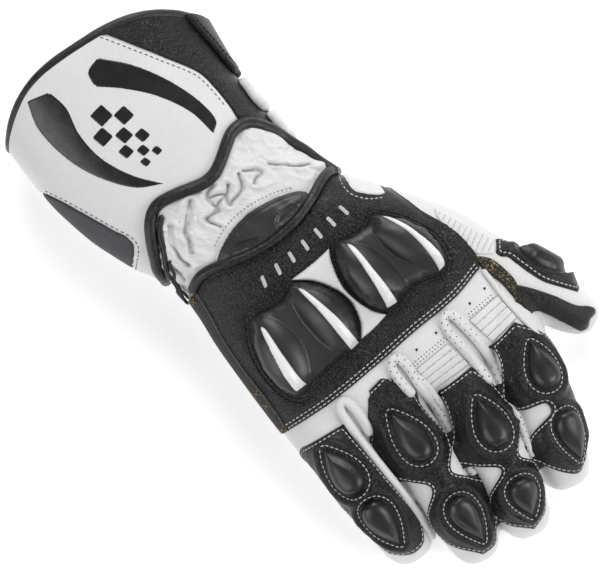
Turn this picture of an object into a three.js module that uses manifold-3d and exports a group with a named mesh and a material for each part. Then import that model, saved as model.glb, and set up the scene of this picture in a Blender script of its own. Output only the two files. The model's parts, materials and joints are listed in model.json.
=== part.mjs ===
// A long leather racing glove for the right hand, lying palm down with the back of the hand up.
// Millimetres, +Z up. +X runs from the wrist to the fingertips and +Y is the thumb's side.
import * as THREE from "three";
import { mergeVertices } from "three/addons/utils/BufferGeometryUtils.js";
import Module from "manifold-3d";

const wasm = await Module();
wasm.setup();

// Driving sizes
const cuffLength = 110; // rim to wrist, along the back
const cuffWidth = 102; // at the rim
const cuffHeight = 64; // at the rim
const cuffLean = 21; // how far the rim lies to the little finger's side of the wrist
const rimBow = 20; // how far the rim falls back behind its middle on the little finger's side
const rimBowThumb = 18; // and on the thumb's side
const wristWidth = 87;
const wristHeight = 50;
const wristOffset = 22; // the wrist's middle lies this far to the little finger's side of the palm's
const handLength = 104; // wrist to the crotches of the fingers
const handHeight = 40; // at the knuckles
const fingerWidth = 28;
const fingerClearance = 1.5; // between neighbouring fingers at their roots
const fingerHeight = 28;
const fingerRise = 24; // height of a finger's axis at its root
const thumbWidth = 24.5;
const thumbHeight = 27;
const thumbRise = 21;
const thumbLength = 92;
const thumbAngle = 30; // degrees from the hand's axis
const sink = 1.6; // how far below the floor the leather would reach if it weren't flattened there
const wall = 1.7; // the glove's leather
const gap = 0.3; // between neighbouring pieces
const panelThickness = 1.3; // leather sewn on the shell
const guardThickness = 2.6; // flange of the moulded knuckle and wrist guards
const domeHeight = 8.5; // of the knuckle domes above their flange's seat
const insertProud = 0.7; // how far a white blade stands out of its dome
const sliderHeight = 5; // of the finger sliders above the patches
const sliderWidth = 13.5;
const thumbSliderHeight = 3.5;
const bindingRadius = 2.1;
const weltRadius = 2.3; // cuff welt
const rollRadius = 1.8; // rolled edge of the back panel
const fingerWeltRadius = 2;
const strapThickness = 2;
const cordRadius = 1.1; // end of the wrist strap's cord
const gussetThickness = 3;
const slotLength = 3.4; // slots in the cuff's grey side panel
const slotWidth = 1.5;
const ribHeight = 1.1; // ribs of the stretch panels, above their base
const slotLow = 12.8; // the slots' cutters reach down to this height

// Sizes that follow from them
const fingerPitch = fingerWidth + fingerClearance;
const handWidth = 4 * fingerPitch + 2 * fingerClearance;
const wristX = -handLength / 2;
const rimX = wristX - cuffLength;
const rimStart = rimX + 2.2 * bindingRadius + gap; // where the shell and its panels end, clear of the binding
const panelLow = gap;
const panelHigh = panelLow + panelThickness;
const guardLow = panelHigh + gap;
const guardHigh = guardLow + guardThickness;
const palmReach = 2 * cuffHeight;
const pastRim = 0.1 * cuffLength;
const fingerValley = 0.8 * handHeight; // the finger welts hang no lower than this between the fingers
const thumbSliderFloor = 1.1 * thumbRise; // the thumb's slider doesn't follow the thumb's side below this

const mix = (a, b, share) => a + (b - a) * share;
const radians = THREE.MathUtils.degToRad;

// Turns rows of bare shares into rows with named columns.
const table = (names, ...rows) =>
  rows.map((row) => Object.fromEntries(names.split(" ").map((name, column) => [name, row[column]])));

// Body sections. at: share of the cuff's or hand's length. lean: share of the cuff's lean or of the wrist's
// offset. bulge: width against a straight taper. thick: height against a straight taper.
const cuffSections = table(
  "at lean bulge thick",
  [0.0, 1.0, 1.0, 1.0],
  [0.36, 0.95, 1.02, 0.99],
  [0.63, 0.75, 1.03, 0.98],
  [0.78, 0.56, 1.02, 0.98],
  [0.92, 0.23, 1.018, 0.98],
);
const handSections = table(
  "at lean bulge thick",
  [0.0, 1.0, 1.0, 1.0],
  [0.16, 0.63, 1.075, 0.98],
  [0.34, 0.37, 1.13, 0.97],
  [0.55, 0.12, 1.14, 0.98],
  [0.79, 0.01, 1.07, 1.02],
  [0.92, 0.0, 1.01, 0.97],
  [0.98, 0.0, 0.96, 0.84],
  [1.02, 0.0, 0.86, 0.6],
);
const bodyPower = 2.4; // exponent of the rounded cross-sections

const bodyRows = [
  ...cuffSections.map((row) => ({
    along: mix(rimStart, wristX, row.at),
    shift: -wristOffset - cuffLean * row.lean,
    half: (mix(cuffWidth, wristWidth, row.at) / 2) * row.bulge,
    rise: (mix(cuffHeight, wristHeight, row.at) / 2) * row.thick - sink / 2,
    above: (mix(cuffHeight, wristHeight, row.at) / 2) * row.thick + sink / 2,
  })),
  ...handSections.map((row) => ({
    along: mix(wristX, -wristX, row.at),
    shift: -wristOffset * row.lean,
    half: (mix(wristWidth, handWidth, row.at) / 2) * row.bulge,
    rise: (mix(wristHeight, handHeight, row.at) - sink) / 2,
    above: (mix(wristHeight, handHeight, row.at) * row.thick + sink) / 2,
  })),
];

// Finger sections. at: share of the length from root to tip. rise: share of the axis height at the root.
// half: share of half the width. above: share of half the height.
const fingerSections = table(
  "at rise half above",
  [-0.3, 0.86, 0.97, 0.96],
  [0.0, 0.96, 1.0, 1.0],
  [0.22, 1.05, 0.99, 1.0],
  [0.45, 1.05, 0.98, 0.97],
  [0.65, 0.88, 0.95, 0.94],
  [0.8, 0.65, 0.91, 0.9],
  [0.91, 0.48, 0.8, 0.82],
  [0.97, 0.41, 0.6, 0.66],
  [1.0, 0.37, 0.33, 0.38],
);
const thumbSections = table(
  "at rise half above",
  [-0.22, 1.0, 0.9, 0.8],
  [0.0, 1.02, 1.2, 1.0],
  [0.16, 1.02, 1.3, 1.06],
  [0.35, 1.0, 1.18, 1.04],
  [0.55, 0.95, 1.02, 1.0],
  [0.72, 0.84, 0.97, 0.96],
  [0.85, 0.64, 0.88, 0.9],
  [0.94, 0.52, 0.68, 0.76],
  [0.985, 0.46, 0.4, 0.5],
);
const digitPower = 2.2;

// Fingers. rootX, tipX: shares of the hand's length from the palm's middle. rootY, tipY: in finger pitches.
const fingers = table(
  "name rootX tipX rootY tipY width",
  ["little", 0.4, 1.08, -1.5, -1.36, 0.97],
  ["ring", 0.4, 1.24, -0.43, -0.53, 0.98],
  ["middle", 0.48, 1.265, 0.69, 0.28, 0.98],
  ["index", 0.46, 1.18, 1.69, 1.17, 0.98],
);

// A limb is a run of rounded sections along a straight line over the floor.
function limb(origin, heading, rows, power, stations, lag = () => 0) {
  const cos = Math.cos(heading);
  const sin = Math.sin(heading);
  const world = (along, across) => [
    origin[0] + along * cos - across * sin,
    origin[1] + along * sin + across * cos,
  ];
  const local = (x, y) => [
    (x - origin[0]) * cos + (y - origin[1]) * sin,
    (y - origin[1]) * cos - (x - origin[0]) * sin,
  ];
  const first = rows[0].along;
  const last = rows[rows.length - 1].along;
  return { world, local, rows, power, stations, lag, first, last };
}

// The section at a place along a limb, on a smooth curve through its rows.
function sectionAt(member, along) {
  const { rows } = member;
  let i = 0;
  while (i < rows.length - 2 && along > rows[i + 1].along) i += 1;
  const near = rows[i];
  const far = rows[i + 1];
  const before = rows[Math.max(i - 1, 0)];
  const after = rows[Math.min(i + 2, rows.length - 1)];
  const span = far.along - near.along;
  const share = THREE.MathUtils.clamp((along - near.along) / span, 0, 1);
  const section = { along };
  for (const key of ["shift", "half", "rise", "above"]) {
    const leave = ((far[key] - before[key]) / (far.along - before.along)) * span;
    const arrive = ((after[key] - near[key]) / (after.along - near.along)) * span;
    const square = share * share;
    const cube = square * share;
    section[key] =
      near[key] * (2 * cube - 3 * square + 1) +
      far[key] * (3 * square - 2 * cube) +
      leave * (cube - 2 * square + share) +
      arrive * (cube - square);
  }
  return section;
}

// Height of a limb's upper surface over a point of the floor, or minus infinity beside the limb.
function topOf(member, x, y) {
  const [place, across] = member.local(x, y);
  if (place < member.first || place > member.last) return -Infinity;
  const here = sectionAt(member, place);
  const along = place - member.lag(place, THREE.MathUtils.clamp((across - here.shift) / here.half, -1, 1));
  const { shift, half, rise, above } = sectionAt(member, along);
  const share = Math.abs(across - shift) / half;
  if (share >= 1) return -Infinity;
  return rise + above * (1 - share ** member.power) ** (1 / member.power);
}

const signedPower = (value, exponent) => Math.sign(value) * Math.abs(value) ** exponent;

function solidFrom(vertices, triangles) {
  const mesh = new wasm.Mesh({
    numProp: 3,
    vertProperties: new Float32Array(vertices),
    triVerts: new Uint32Array(triangles),
  });
  return new wasm.Manifold(mesh);
}

function solidOf(geometry) {
  const bare = geometry.clone();
  for (const name of Object.keys(bare.attributes)) if (name !== "position") bare.deleteAttribute(name);
  const merged = mergeVertices(bare, 1e-4);
  return solidFrom(merged.attributes.position.array, merged.index.array);
}

// Joins rings of equally many points into a closed solid with a fan over each end.
function stackRings(rings) {
  const sides = rings[0].length;
  const vertices = rings.flat(2);
  const triangles = [];
  for (let r = 0; r + 1 < rings.length; r += 1) {
    for (let i = 0; i < sides; i += 1) {
      const a = r * sides + i;
      const b = r * sides + ((i + 1) % sides);
      triangles.push(a, b, b + sides, a, b + sides, a + sides);
    }
  }
  for (const [ring, turned] of [[0, true], [rings.length - 1, false]]) {
    const centre = vertices.length / 3;
    for (const axis of [0, 1, 2]) {
      vertices.push(rings[ring].reduce((sum, point) => sum + point[axis], 0) / sides);
    }
    for (let i = 0; i < sides; i += 1) {
      const a = ring * sides + i;
      const b = ring * sides + ((i + 1) % sides);
      triangles.push(...(turned ? [b, a, centre] : [a, b, centre]));
    }
  }
  return solidFrom(vertices, triangles);
}

// A point of a limb's skin, grown by an offset, at an angle round its section.
function skinPoint(member, along, angle, offset, shove = 0) {
  const { shift, half, rise, above } = sectionAt(member, along);
  const share = signedPower(Math.cos(angle), 2 / member.power);
  const height = signedPower(Math.sin(angle), 2 / member.power);
  const place = along + member.lag(along, share) + shove;
  return [...member.world(place, shift + (half + offset) * share), rise + (above + offset) * height];
}

// The limb's solid, grown by an offset. startReach lengthens its first end.
function loft(member, offset, sides, startReach = 0) {
  const ringAt = (share, shove) =>
    Array.from({ length: sides }, (_, i) =>
      skinPoint(member, mix(member.first, member.last, share), (i / sides) * 2 * Math.PI, offset, shove),
    );
  const rings = member.stations.map((share) => ringAt(share, share === 1 ? offset : 0));
  if (startReach > 0) rings.unshift(ringAt(0, -startReach));
  return stackRings(rings);
}

const evenly = (count) => Array.from({ length: count }, (_, i) => i / (count - 1));
const bodyStations = [0, 0.2, 0.38, 0.5, 0.58, 0.68, 0.81, 0.93, 0.975, 1];
const digitStations = [0, 0.23, 0.42, 0.6, 0.77, 0.9, 1];
const bodySides = 18;
const digitSides = 10;

// The rim is bowed, seen from above: its sides fall back, and the cuff's sections follow it less and less.
const rimLag = (along, share) =>
  (share > 0 ? rimBowThumb : rimBow) * Math.abs(share) ** 3 * Math.max(0, (wristX - along) / cuffLength) ** 2;
const body = limb([0, 0], 0, bodyRows, bodyPower, bodyStations, rimLag);
const digits = {};
for (const finger of fingers) {
  const root = [finger.rootX * handLength, finger.rootY * fingerPitch];
  const tip = [finger.tipX * handLength, finger.tipY * fingerPitch];
  const length = Math.hypot(tip[0] - root[0], tip[1] - root[1]);
  const rows = fingerSections.map((row) => ({
    along: row.at * length,
    shift: 0,
    half: (finger.width * fingerWidth * row.half) / 2,
    rise: fingerRise * row.rise,
    above: (fingerHeight / 2) * row.above,
  }));
  const heading = Math.atan2(tip[1] - root[1], tip[0] - root[0]);
  digits[finger.name] = limb(root, heading, rows, digitPower, digitStations);
}
const thumbRoot = [0.24 * wristX, 0.315 * handWidth];
digits.thumb = limb(
  thumbRoot,
  radians(thumbAngle),
  thumbSections.map((row) => ({
    along: row.at * thumbLength,
    shift: 0,
    half: (thumbWidth / 2) * row.half,
    rise: thumbRise * row.rise,
    above: (thumbHeight / 2) * row.above,
  })),
  digitPower,
  digitStations,
);
const members = [body, ...Object.values(digits)];
const topAt = (x, y) => Math.max(0, ...members.map((member) => topOf(member, x, y)));

// A box between two corners.
function block(low, high) {
  const spans = high.map((value, axis) => value - low[axis]);
  const geometry = new THREE.BoxGeometry(...spans);
  geometry.translate(...low.map((value, axis) => value + spans[axis] / 2));
  return solidOf(geometry);
}

const reach = 4 * handLength; // further than any part of the glove
const aboveFloor = (height) => block([-reach, -reach, height], [reach, reach, reach]);

// The whole glove grown by an offset, flat where it rests.
const skins = new Map();
function skin(offset) {
  if (!skins.has(offset)) {
    let whole = loft(body, offset, bodySides);
    for (const digit of Object.values(digits)) whole = whole.add(loft(digit, offset, digitSides));
    skins.set(offset, whole.intersect(aboveFloor(0)));
  }
  return skins.get(offset);
}

// The space that the glove grown by an offset takes from what lies on it, past the rim and the floor too.
const rooms = new Map();
function room(offset) {
  if (!rooms.has(offset)) {
    let whole = loft(body, offset, bodySides, pastRim);
    for (const digit of Object.values(digits)) whole = whole.add(loft(digit, offset, digitSides));
    rooms.set(offset, offset < 0 ? whole.intersect(aboveFloor(-offset)) : whole);
  }
  return rooms.get(offset);
}

// A layer on one digit alone.
function digitSkin(name, offset) {
  return loft(digits[name], offset, digitSides).intersect(aboveFloor(0));
}

const flat = (outline) => outline.map(([x, y]) => new THREE.Vector2(x, y));

// An upright prism over an outline on the floor.
function prism(outline, low = -reach, high = reach) {
  const geometry = new THREE.ExtrudeGeometry(new THREE.Shape(flat(outline)), {
    depth: high - low,
    bevelEnabled: false,
  });
  geometry.translate(0, 0, low);
  return solidOf(geometry);
}

// Places on the glove, as shares. cuffSpot: of the cuff's length from the rim, and of its half width.
// handSpot: of the hand's length from the wrist, and of its half width. digitSpot: of a digit's length
// from its root, and of half its width.
function bodySpot(x, across) {
  const { shift, half } = sectionAt(body, x);
  return [x, shift + across * half];
}
const cuffSpot = ([at, across]) => bodySpot(mix(rimX, wristX, at), across);
const handSpot = ([at, across]) => bodySpot(mix(wristX, -wristX, at), across);
const digitLength = (name) => (name === "thumb" ? thumbLength : digits[name].last);
const digitSpot = (name) => {
  const member = digits[name];
  const width = name === "thumb" ? thumbWidth : fingers.find((row) => row.name === name).width * fingerWidth;
  return ([at, across]) => member.world(at * digitLength(name), (across * width) / 2);
};

// A closed smooth outline through a few points.
function rounded(points, count) {
  const knots = points.map(([x, y]) => new THREE.Vector3(x, y, 0));
  const curve = new THREE.CatmullRomCurve3(knots, true, "centripetal");
  return curve.getPoints(count).slice(0, -1).map(({ x, y }) => [x, y]);
}

// One where an outline runs counterclockwise, else minus one.
const turnOf = (outline) => Math.sign(THREE.ShapeUtils.area(flat(outline)));

// Moves each side of an outline outward, with mitred corners.
function grown(outline, distance) {
  const turn = turnOf(outline);
  const count = outline.length;
  const normals = outline.map(([x, y], i) => {
    const [nextX, nextY] = outline[(i + 1) % count];
    const length = Math.hypot(nextX - x, nextY - y);
    return [(turn * (nextY - y)) / length, (turn * (x - nextX)) / length];
  });
  return outline.map(([x, y], i) => {
    const [ax, ay] = normals[(i + count - 1) % count];
    const [bx, by] = normals[i];
    const mitre = distance / Math.max(0.3, 1 + ax * bx + ay * by);
    return [x + mitre * (ax + bx), y + mitre * (ay + by)];
  });
}

// Everything over a limb's axis, or over a share of the axis's height.
function over(member, share) {
  const width = 1.5 * cuffWidth;
  const rings = member.stations.map((station, index, all) => {
    const along = mix(member.first, member.last, station);
    const place = along + (index === 0 ? -cuffHeight : 0) + (index === all.length - 1 ? cuffHeight : 0);
    const low = sectionAt(member, along).rise * share;
    const corners = [[width, low], [width, palmReach], [-width, palmReach], [-width, low]];
    return corners.map(([across, height]) => [...member.world(place, across), height]);
  });
  return stackRings(rings);
}

// A layer of leather between two offsets of the skin, over an outline and down to a share of the axis height.
function sheet(outline, low, high, base = 1, member = body) {
  return skin(high).subtract(room(low)).intersect(prism(outline)).intersect(over(member, base));
}

// A round bar along a path of points.
function bar(points, radius, steps) {
  const sides = 6;
  const knots = points.map((point) => new THREE.Vector3(...point));
  const path = new THREE.CatmullRomCurve3(knots, false, "centripetal");
  const circle = new THREE.Shape(
    Array.from({ length: sides }, (_, i) => {
      const angle = ((i + 0.5) / sides) * 2 * Math.PI;
      return new THREE.Vector2(radius * Math.cos(angle), radius * Math.sin(angle));
    }),
  );
  return solidOf(new THREE.ExtrudeGeometry(circle, { steps, extrudePath: path, bevelEnabled: false }));
}

// Lays a path on the glove's upper surface, its middle the given lift above it, and above the valleys.
const lay = (spots, lift, valley = 0) => spots.map(([x, y]) => [x, y, Math.max(topAt(x, y), valley) + lift]);

const seated = 0.55; // a laid roll's middle stands this share of its radius above the leather

// A dome over an outline, draped on the upper surface. seat and height count from that surface.
function dome(outline, seat, height, levels = [0, 28, 55], valley = 0) {
  const roundness = 0.8; // below one the dome's sides are fuller than an ellipse's
  const edge = turnOf(outline) > 0 ? outline : outline.toReversed();
  const centre = [0, 1].map((axis) => edge.reduce((sum, point) => sum + point[axis], 0) / edge.length);
  const ringAt = (scale, lift) =>
    edge.map(([x, y]) => {
      const px = mix(centre[0], x, scale);
      const py = mix(centre[1], y, scale);
      return [px, py, Math.max(topAt(px, py), valley) + lift];
    });
  const rings = levels.map((angle) => {
    const turn = radians(angle);
    return ringAt(Math.cos(turn) ** roundness, seat + height * Math.sin(turn));
  });
  return stackRings([ringAt(1, -wall), ...rings]);
}

// A drop-shaped outline from a sharp tip to a round end.
function teardrop(tip, end, width, count = 10) {
  const dx = end[0] - tip[0];
  const dy = end[1] - tip[1];
  const length = Math.hypot(dx, dy);
  const widest = 0.77; // the largest value of sine times half-angle sine
  return Array.from({ length: count }, (_, i) => {
    const angle = (i / count) * 2 * Math.PI;
    const share = (1 - Math.cos(angle)) / 2;
    const side = ((width / 2) * Math.sin(angle) * Math.abs(Math.sin(angle / 2))) / widest;
    return [tip[0] + share * dx - (side * dy) / length, tip[1] + share * dy + (side * dx) / length];
  });
}

const looks = {
  white: { color: 0xe9e9e7, roughness: 0.55 },
  black: { color: 0x17171a, roughness: 0.5 },
  grey: { color: 0x3c3d41, roughness: 0.8 },
  moulded: { color: 0x2b2b2e, roughness: 0.35 },
  gloss: { color: 0xf2f2f2, roughness: 0.3 },
};
const glove = new THREE.Group();

function addNode(name, solid, look) {
  const { vertProperties, numProp, triVerts } = solid.getMesh();
  const positions = new Float32Array((vertProperties.length / numProp) * 3);
  for (let i = 0; i < positions.length; i += 1) {
    positions[i] = vertProperties[Math.floor(i / 3) * numProp + (i % 3)];
  }
  const geometry = new THREE.BufferGeometry();
  geometry.setAttribute("position", new THREE.BufferAttribute(positions, 3));
  geometry.setIndex(new THREE.BufferAttribute(new Uint32Array(triVerts), 1));
  geometry.computeVertexNormals();
  const mesh = new THREE.Mesh(geometry, new THREE.MeshStandardMaterial({ ...looks[look], metalness: 0 }));
  mesh.name = name;
  glove.add(mesh);
}

// Binding: a closed hoop over the bowed edge, flush with its panels.
const bindingSeat = panelHigh - bindingRadius;
function hoop(radius) {
  const sides = 6;
  const count = bodySides;
  const level = (i) => {
    const angle = (i / count) * 2 * Math.PI;
    const point = skinPoint(body, body.first, angle, bindingSeat, rimX + radius - rimStart);
    return new THREE.Vector3(point[0], point[1], Math.max(point[2], radius));
  };
  const vertices = [];
  const triangles = [];
  for (let i = 0; i < count; i += 1) {
    const centre = level(i);
    const tangent = level(i + 1).sub(level(i - 1)).normalize();
    const outward = new THREE.Vector3(1, 0, 0).cross(tangent).normalize();
    const side = tangent.clone().cross(outward);
    for (let k = 0; k < sides; k += 1) {
      const angle = (k / sides) * 2 * Math.PI;
      const point = centre
        .clone()
        .addScaledVector(outward, radius * Math.cos(angle))
        .addScaledVector(side, radius * Math.sin(angle));
      vertices.push(point.x, point.y, Math.max(point.z, 0));
      const a = i * sides + k;
      const b = i * sides + ((k + 1) % sides);
      const next = (index) => (index + sides) % (count * sides);
      triangles.push(a, b, next(b), a, next(b), next(a));
    }
  }
  return solidFrom(vertices, triangles);
}
const ahead = (x) => block([x, -reach, -reach], [reach, reach, reach]);

// Shells: the outer skin less the inner one, parted at the wrist and at each digit's root.
const hollow = skin(0).subtract(room(-wall));
addNode("gauntlet_shell", hollow.subtract(ahead(wristX - gap / 2)), "white");

const seamShare = { little: 0.08, ring: 0.08, middle: 0.06, index: 0.06, thumb: 0.3 };
const pastSeam = (name, slack) => {
  const { world } = digits[name];
  const seam = seamShare[name] * digitLength(name);
  const half = fingerPitch * 0.58;
  const [near, far] = [seam - slack, 1.5 * digitLength(name)];
  return prism([world(near, -half), world(far, -half), world(far, half), world(near, half)]);
};
let hand = hollow.intersect(ahead(wristX + gap / 2));
for (const name of Object.keys(digits)) {
  const sleeve = digitSkin(name, 0).subtract(room(-wall)).intersect(pastSeam(name, 0));
  addNode(name === "thumb" ? "thumb_sleeve" : `finger_sleeve_${name}`, sleeve, "white");
  hand = hand.subtract(loft(digits[name], gap, digitSides).intersect(pastSeam(name, gap)));
}
addNode("hand_shell", hand, "white");

addNode("cuff_binding", hoop(bindingRadius), "black");

// Cuff welt: the thick rolled edge between the cuff's panels and the wrist.
const weltPath = [
  [1.0, 0.98],
  [0.9, 0.975],
  [0.79, 0.965],
  [0.7, 0.91],
  [0.642, 0.81],
  [0.626, 0.7],
  [0.663, 0.52],
  [0.72, 0.32],
  [0.742, 0.13],
  [0.722, -0.12],
  [0.714, -0.32],
  [0.757, -0.5],
  [0.86, -0.73],
  [0.975, -0.93],
].map(cuffSpot);
const weltBar = (extra) => bar(lay(weltPath, seated * weltRadius), weltRadius + extra, 18);
addNode("cuff_welt", weltBar(0).subtract(room(gap)), "black");

// Cuff panels, side by side between the rim and the welt.
const cuffPanels = {
  cuff_back_panel: {
    look: "white",
    base: 0.6,
    outline: [
      [-0.2, 0.2], [0.02, 0.2], [0.139, 0.38], [0.237, 0.535], [0.366, 0.725], [0.445, 0.76], [0.6, 0.74],
      [0.64, 0.6], [0.69, 0.42], [0.735, 0.22], [0.735, 0], [0.713, -0.27], [0.74, -0.46], [0.81, -0.62],
      [0.9, -0.82], [0.96, -0.9], [0.98, -1.3], [0.88, -1.3], [0.872, -1.03], [0.816, -0.825],
      [0.785, -0.767], [0.749, -0.752], [0.649, -0.808], [0.487, -0.907], [0.41, -0.97], [0.39, -1.3],
      [-0.2, -1.3],
    ],
  },
  cuff_side_panel: {
    look: "black",
    base: 0.6,
    outline: [
      [-0.2, 0.22], [0.02, 0.22], [0.139, 0.4], [0.237, 0.555], [0.366, 0.745], [0.445, 0.78], [0.59, 0.765],
      [0.64, 0.82], [0.7, 0.92], [0.76, 0.97], [0.8, 1.3], [-0.2, 1.3],
    ],
  },
  cuff_slot_panel: {
    look: "grey",
    base: 0.36,
    outline: [
      [0.4, -1.3], [0.42, -0.985], [0.487, -0.927], [0.649, -0.828], [0.749, -0.773], [0.78, -0.787],
      [0.807, -0.832], [0.861, -1.03], [0.87, -1.3],
    ],
  },
};
const slotRows = 4;
const slotPitch = 0.021; // share of the cuff's length
const slotSlant = 0.006; // share of its half width, from row to row
function slots() {
  let cutters = null;
  for (const column of [-0.94, -1.0]) {
    for (let row = 0; row < slotRows; row += 1) {
      const [x, y] = cuffSpot([0.74 + row * slotPitch, column + row * slotSlant]);
      const low = [x - slotWidth / 2, y - slotLength / 2, slotLow];
      const cutter = block(low, [low[0] + slotWidth, low[1] + slotLength, palmReach]);
      cutters = cutters ? cutters.add(cutter) : cutter;
    }
  }
  return cutters;
}
for (const [name, { look, base, outline }] of Object.entries(cuffPanels)) {
  let panel = sheet(outline.map(cuffSpot), panelLow, panelHigh, base);
  panel = panel.subtract(weltBar(gap));
  if (name === "cuff_slot_panel") panel = panel.subtract(slots());
  addNode(name, panel, look);
}

// Closure strap and the gusset's two lobes, on the thumb's side of the cuff.
const sidePieces = {
  cuff_closure_strap: {
    look: "black",
    low: guardLow,
    high: guardLow + strapThickness,
    base: 0.5,
    outline: [
      [0.135, 0.885], [0.196, 0.9], [0.26, 0.925], [0.325, 0.95], [0.38, 0.965], [0.44, 1.0], [0.455, 1.4],
      [0.17, 1.4],
    ],
  },
  cuff_gusset_front: {
    look: "white",
    low: guardLow,
    high: guardLow + gussetThickness,
    base: 0.6,
    outline: [[0.465, 0.985], [0.52, 0.97], [0.575, 0.965], [0.62, 0.99], [0.625, 1.4], [0.465, 1.4]],
  },
  cuff_gusset_rear: {
    look: "white",
    low: guardLow,
    high: guardLow + gussetThickness,
    base: 0.6,
    outline: [[0.635, 0.99], [0.68, 0.98], [0.73, 0.985], [0.775, 1.0], [0.785, 1.4], [0.635, 1.4]],
  },
};
for (const [name, { look, low, high, base, outline }] of Object.entries(sidePieces)) {
  addNode(name, sheet(outline.map(cuffSpot), low, high, base).subtract(weltBar(gap)), look);
}

// Rolled edge of the back panel, over the wrist.
const rollPath = [
  [0.1, -0.86], [0.06, -0.74], [0.035, -0.58], [0.05, -0.42], [0.066, -0.3], [0.074, -0.1], [0.066, 0.1],
  [0.045, 0.3], [0.01, 0.52], [-0.03, 0.74], [-0.035, 0.93],
].map(handSpot);
const rollBar = (extra) => bar(lay(rollPath, seated * rollRadius), rollRadius + extra, 14);
addNode("back_panel_roll", rollBar(0).subtract(room(gap)), "black");

// Wrist guard, tucked under the roll.
const guardOutline = [
  [0.022, -0.54], [-0.01, -0.45], [-0.035, -0.26], [-0.058, -0.01], [-0.062, 0.28], [-0.045, 0.52],
  [-0.02, 0.63],
  [0.02, 0.48], [0.055, 0.25], [0.07, 0.0], [0.062, -0.3], [0.04, -0.5],
].map(handSpot);
addNode("wrist_guard", sheet(guardOutline, panelLow, guardThickness).subtract(rollBar(gap)), "moulded");

// End of the wrist strap's cord, on the little finger's side.
const cordPath = [[-0.12, -0.66], [-0.07, -0.72], [-0.01, -0.82], [0.05, -0.9]].map(handSpot);
const cord = bar(lay(cordPath, seated * cordRadius), cordRadius, 6);
addNode("wrist_strap", cord.subtract(room(gap)).subtract(weltBar(gap)), "black");

// Back panel, the strip below it on the little finger's side and the patch beside it on the thumb's.
const backOutline = [
  [0.1, -0.845], [0.05, -0.7], [0.045, -0.5], [0.07, -0.3], [0.08, -0.1], [0.07, 0.12], [0.05, 0.32],
  [0.02, 0.55],
  [0.01, 0.8], [0.1, 0.85], [0.18, 0.915], [0.262, 0.95], [0.401, 0.94], [0.55, 0.885], [0.684, 0.86],
  [0.712, 0.6],
  [0.74, 0.2], [0.775, -0.2], [0.8, -0.6], [0.805, -0.9], [0.6, -0.91], [0.4, -0.9], [0.2, -0.87],
].map(handSpot);
addNode("back_panel", sheet(backOutline, panelLow, panelHigh).subtract(rollBar(gap)), "black");
const stripOutline = [
  [0.11, -0.875], [0.2, -0.89], [0.4, -0.92], [0.6, -0.93], [0.81, -0.92], [0.81, -1.3], [0.11, -1.3],
].map(handSpot);
addNode("side_strip", sheet(stripOutline, panelLow, panelHigh, 0.7).subtract(rollBar(gap)), "grey");
const ovalOutline = [
  [0.0, 0.9], [0.03, 0.88], [0.1, 0.87], [0.16, 0.925], [0.175, 0.955], [0.14, 1.04], [0.09, 1.1],
  [0.02, 1.08],
].map(handSpot);
addNode("radial_patch", sheet(ovalOutline, panelLow, panelHigh, 0.6).subtract(rollBar(gap)), "white");

// Knuckle guards: two domes each on a common flange, with a white blade let into each dome.
const domes = table(
  "outline blade",
  [
    [
      [0.305, -0.6], [0.4, -0.735], [0.55, -0.81], [0.66, -0.79], [0.71, -0.74], [0.66, -0.575], [0.5, -0.46],
      [0.37, -0.49],
    ],
    [[0.36, -0.6], [0.52, -0.632], [0.74, -0.635], [0.74, -0.715], [0.6, -0.695], [0.48, -0.655]],
  ],
  [
    [
      [0.27, -0.24], [0.38, -0.33], [0.5, -0.36], [0.61, -0.33], [0.665, -0.24], [0.59, -0.08], [0.45, -0.02],
      [0.335, -0.08],
    ],
    [[0.31, -0.21], [0.5, -0.165], [0.65, -0.155], [0.66, -0.225], [0.5, -0.235]],
  ],
  [
    [
      [0.23, 0.3], [0.31, 0.16], [0.43, 0.075], [0.54, 0.08], [0.605, 0.19], [0.585, 0.34], [0.47, 0.41],
      [0.33, 0.42],
    ],
    [[0.27, 0.345], [0.44, 0.29], [0.6, 0.245], [0.59, 0.17], [0.42, 0.25]],
  ],
  [
    [
      [0.215, 0.68], [0.29, 0.54], [0.4, 0.485], [0.51, 0.52], [0.59, 0.64], [0.56, 0.74], [0.46, 0.79],
      [0.33, 0.8],
    ],
    [[0.25, 0.705], [0.42, 0.69], [0.575, 0.685], [0.575, 0.62], [0.42, 0.645]],
  ],
);
const domeSides = 11;
const domeOutlines = domes.map(({ outline }) => rounded(outline.map(handSpot), domeSides));
const domeSolid = (index, extra) => dome(grown(domeOutlines[index], extra), guardLow, domeHeight + extra);
const bladeSolid = (index, extra) => prism(grown(domes[index].blade.map(handSpot), extra));
const saddles = {
  knuckle_guard_ulnar: {
    domes: [0, 1],
    outline: [
      [0.62, -0.74], [0.7, -0.72], [0.685, -0.57], [0.66, -0.42], [0.645, -0.24], [0.5, -0.3], [0.47, -0.42],
      [0.5, -0.5],
    ],
  },
  knuckle_guard_radial: {
    domes: [2, 3],
    outline: [
      [0.5, 0.25], [0.595, 0.2], [0.59, 0.3], [0.565, 0.42], [0.585, 0.58], [0.5, 0.58], [0.42, 0.53],
      [0.41, 0.38],
    ],
  },
};
for (const [name, { domes: pair, outline }] of Object.entries(saddles)) {
  let guard = sheet(outline.map(handSpot), guardLow, guardHigh);
  for (const index of pair) guard = guard.add(domeSolid(index, 0));
  for (const index of pair) guard = guard.subtract(bladeSolid(index, gap));
  addNode(name, guard.subtract(room(guardLow)), "moulded");
}
domes.forEach((_, index) => {
  const blade = domeSolid(index, insertProud).intersect(bladeSolid(index, 0)).subtract(room(guardLow));
  addNode(`knuckle_insert_${index + 1}`, blade, "gloss");
});
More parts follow.
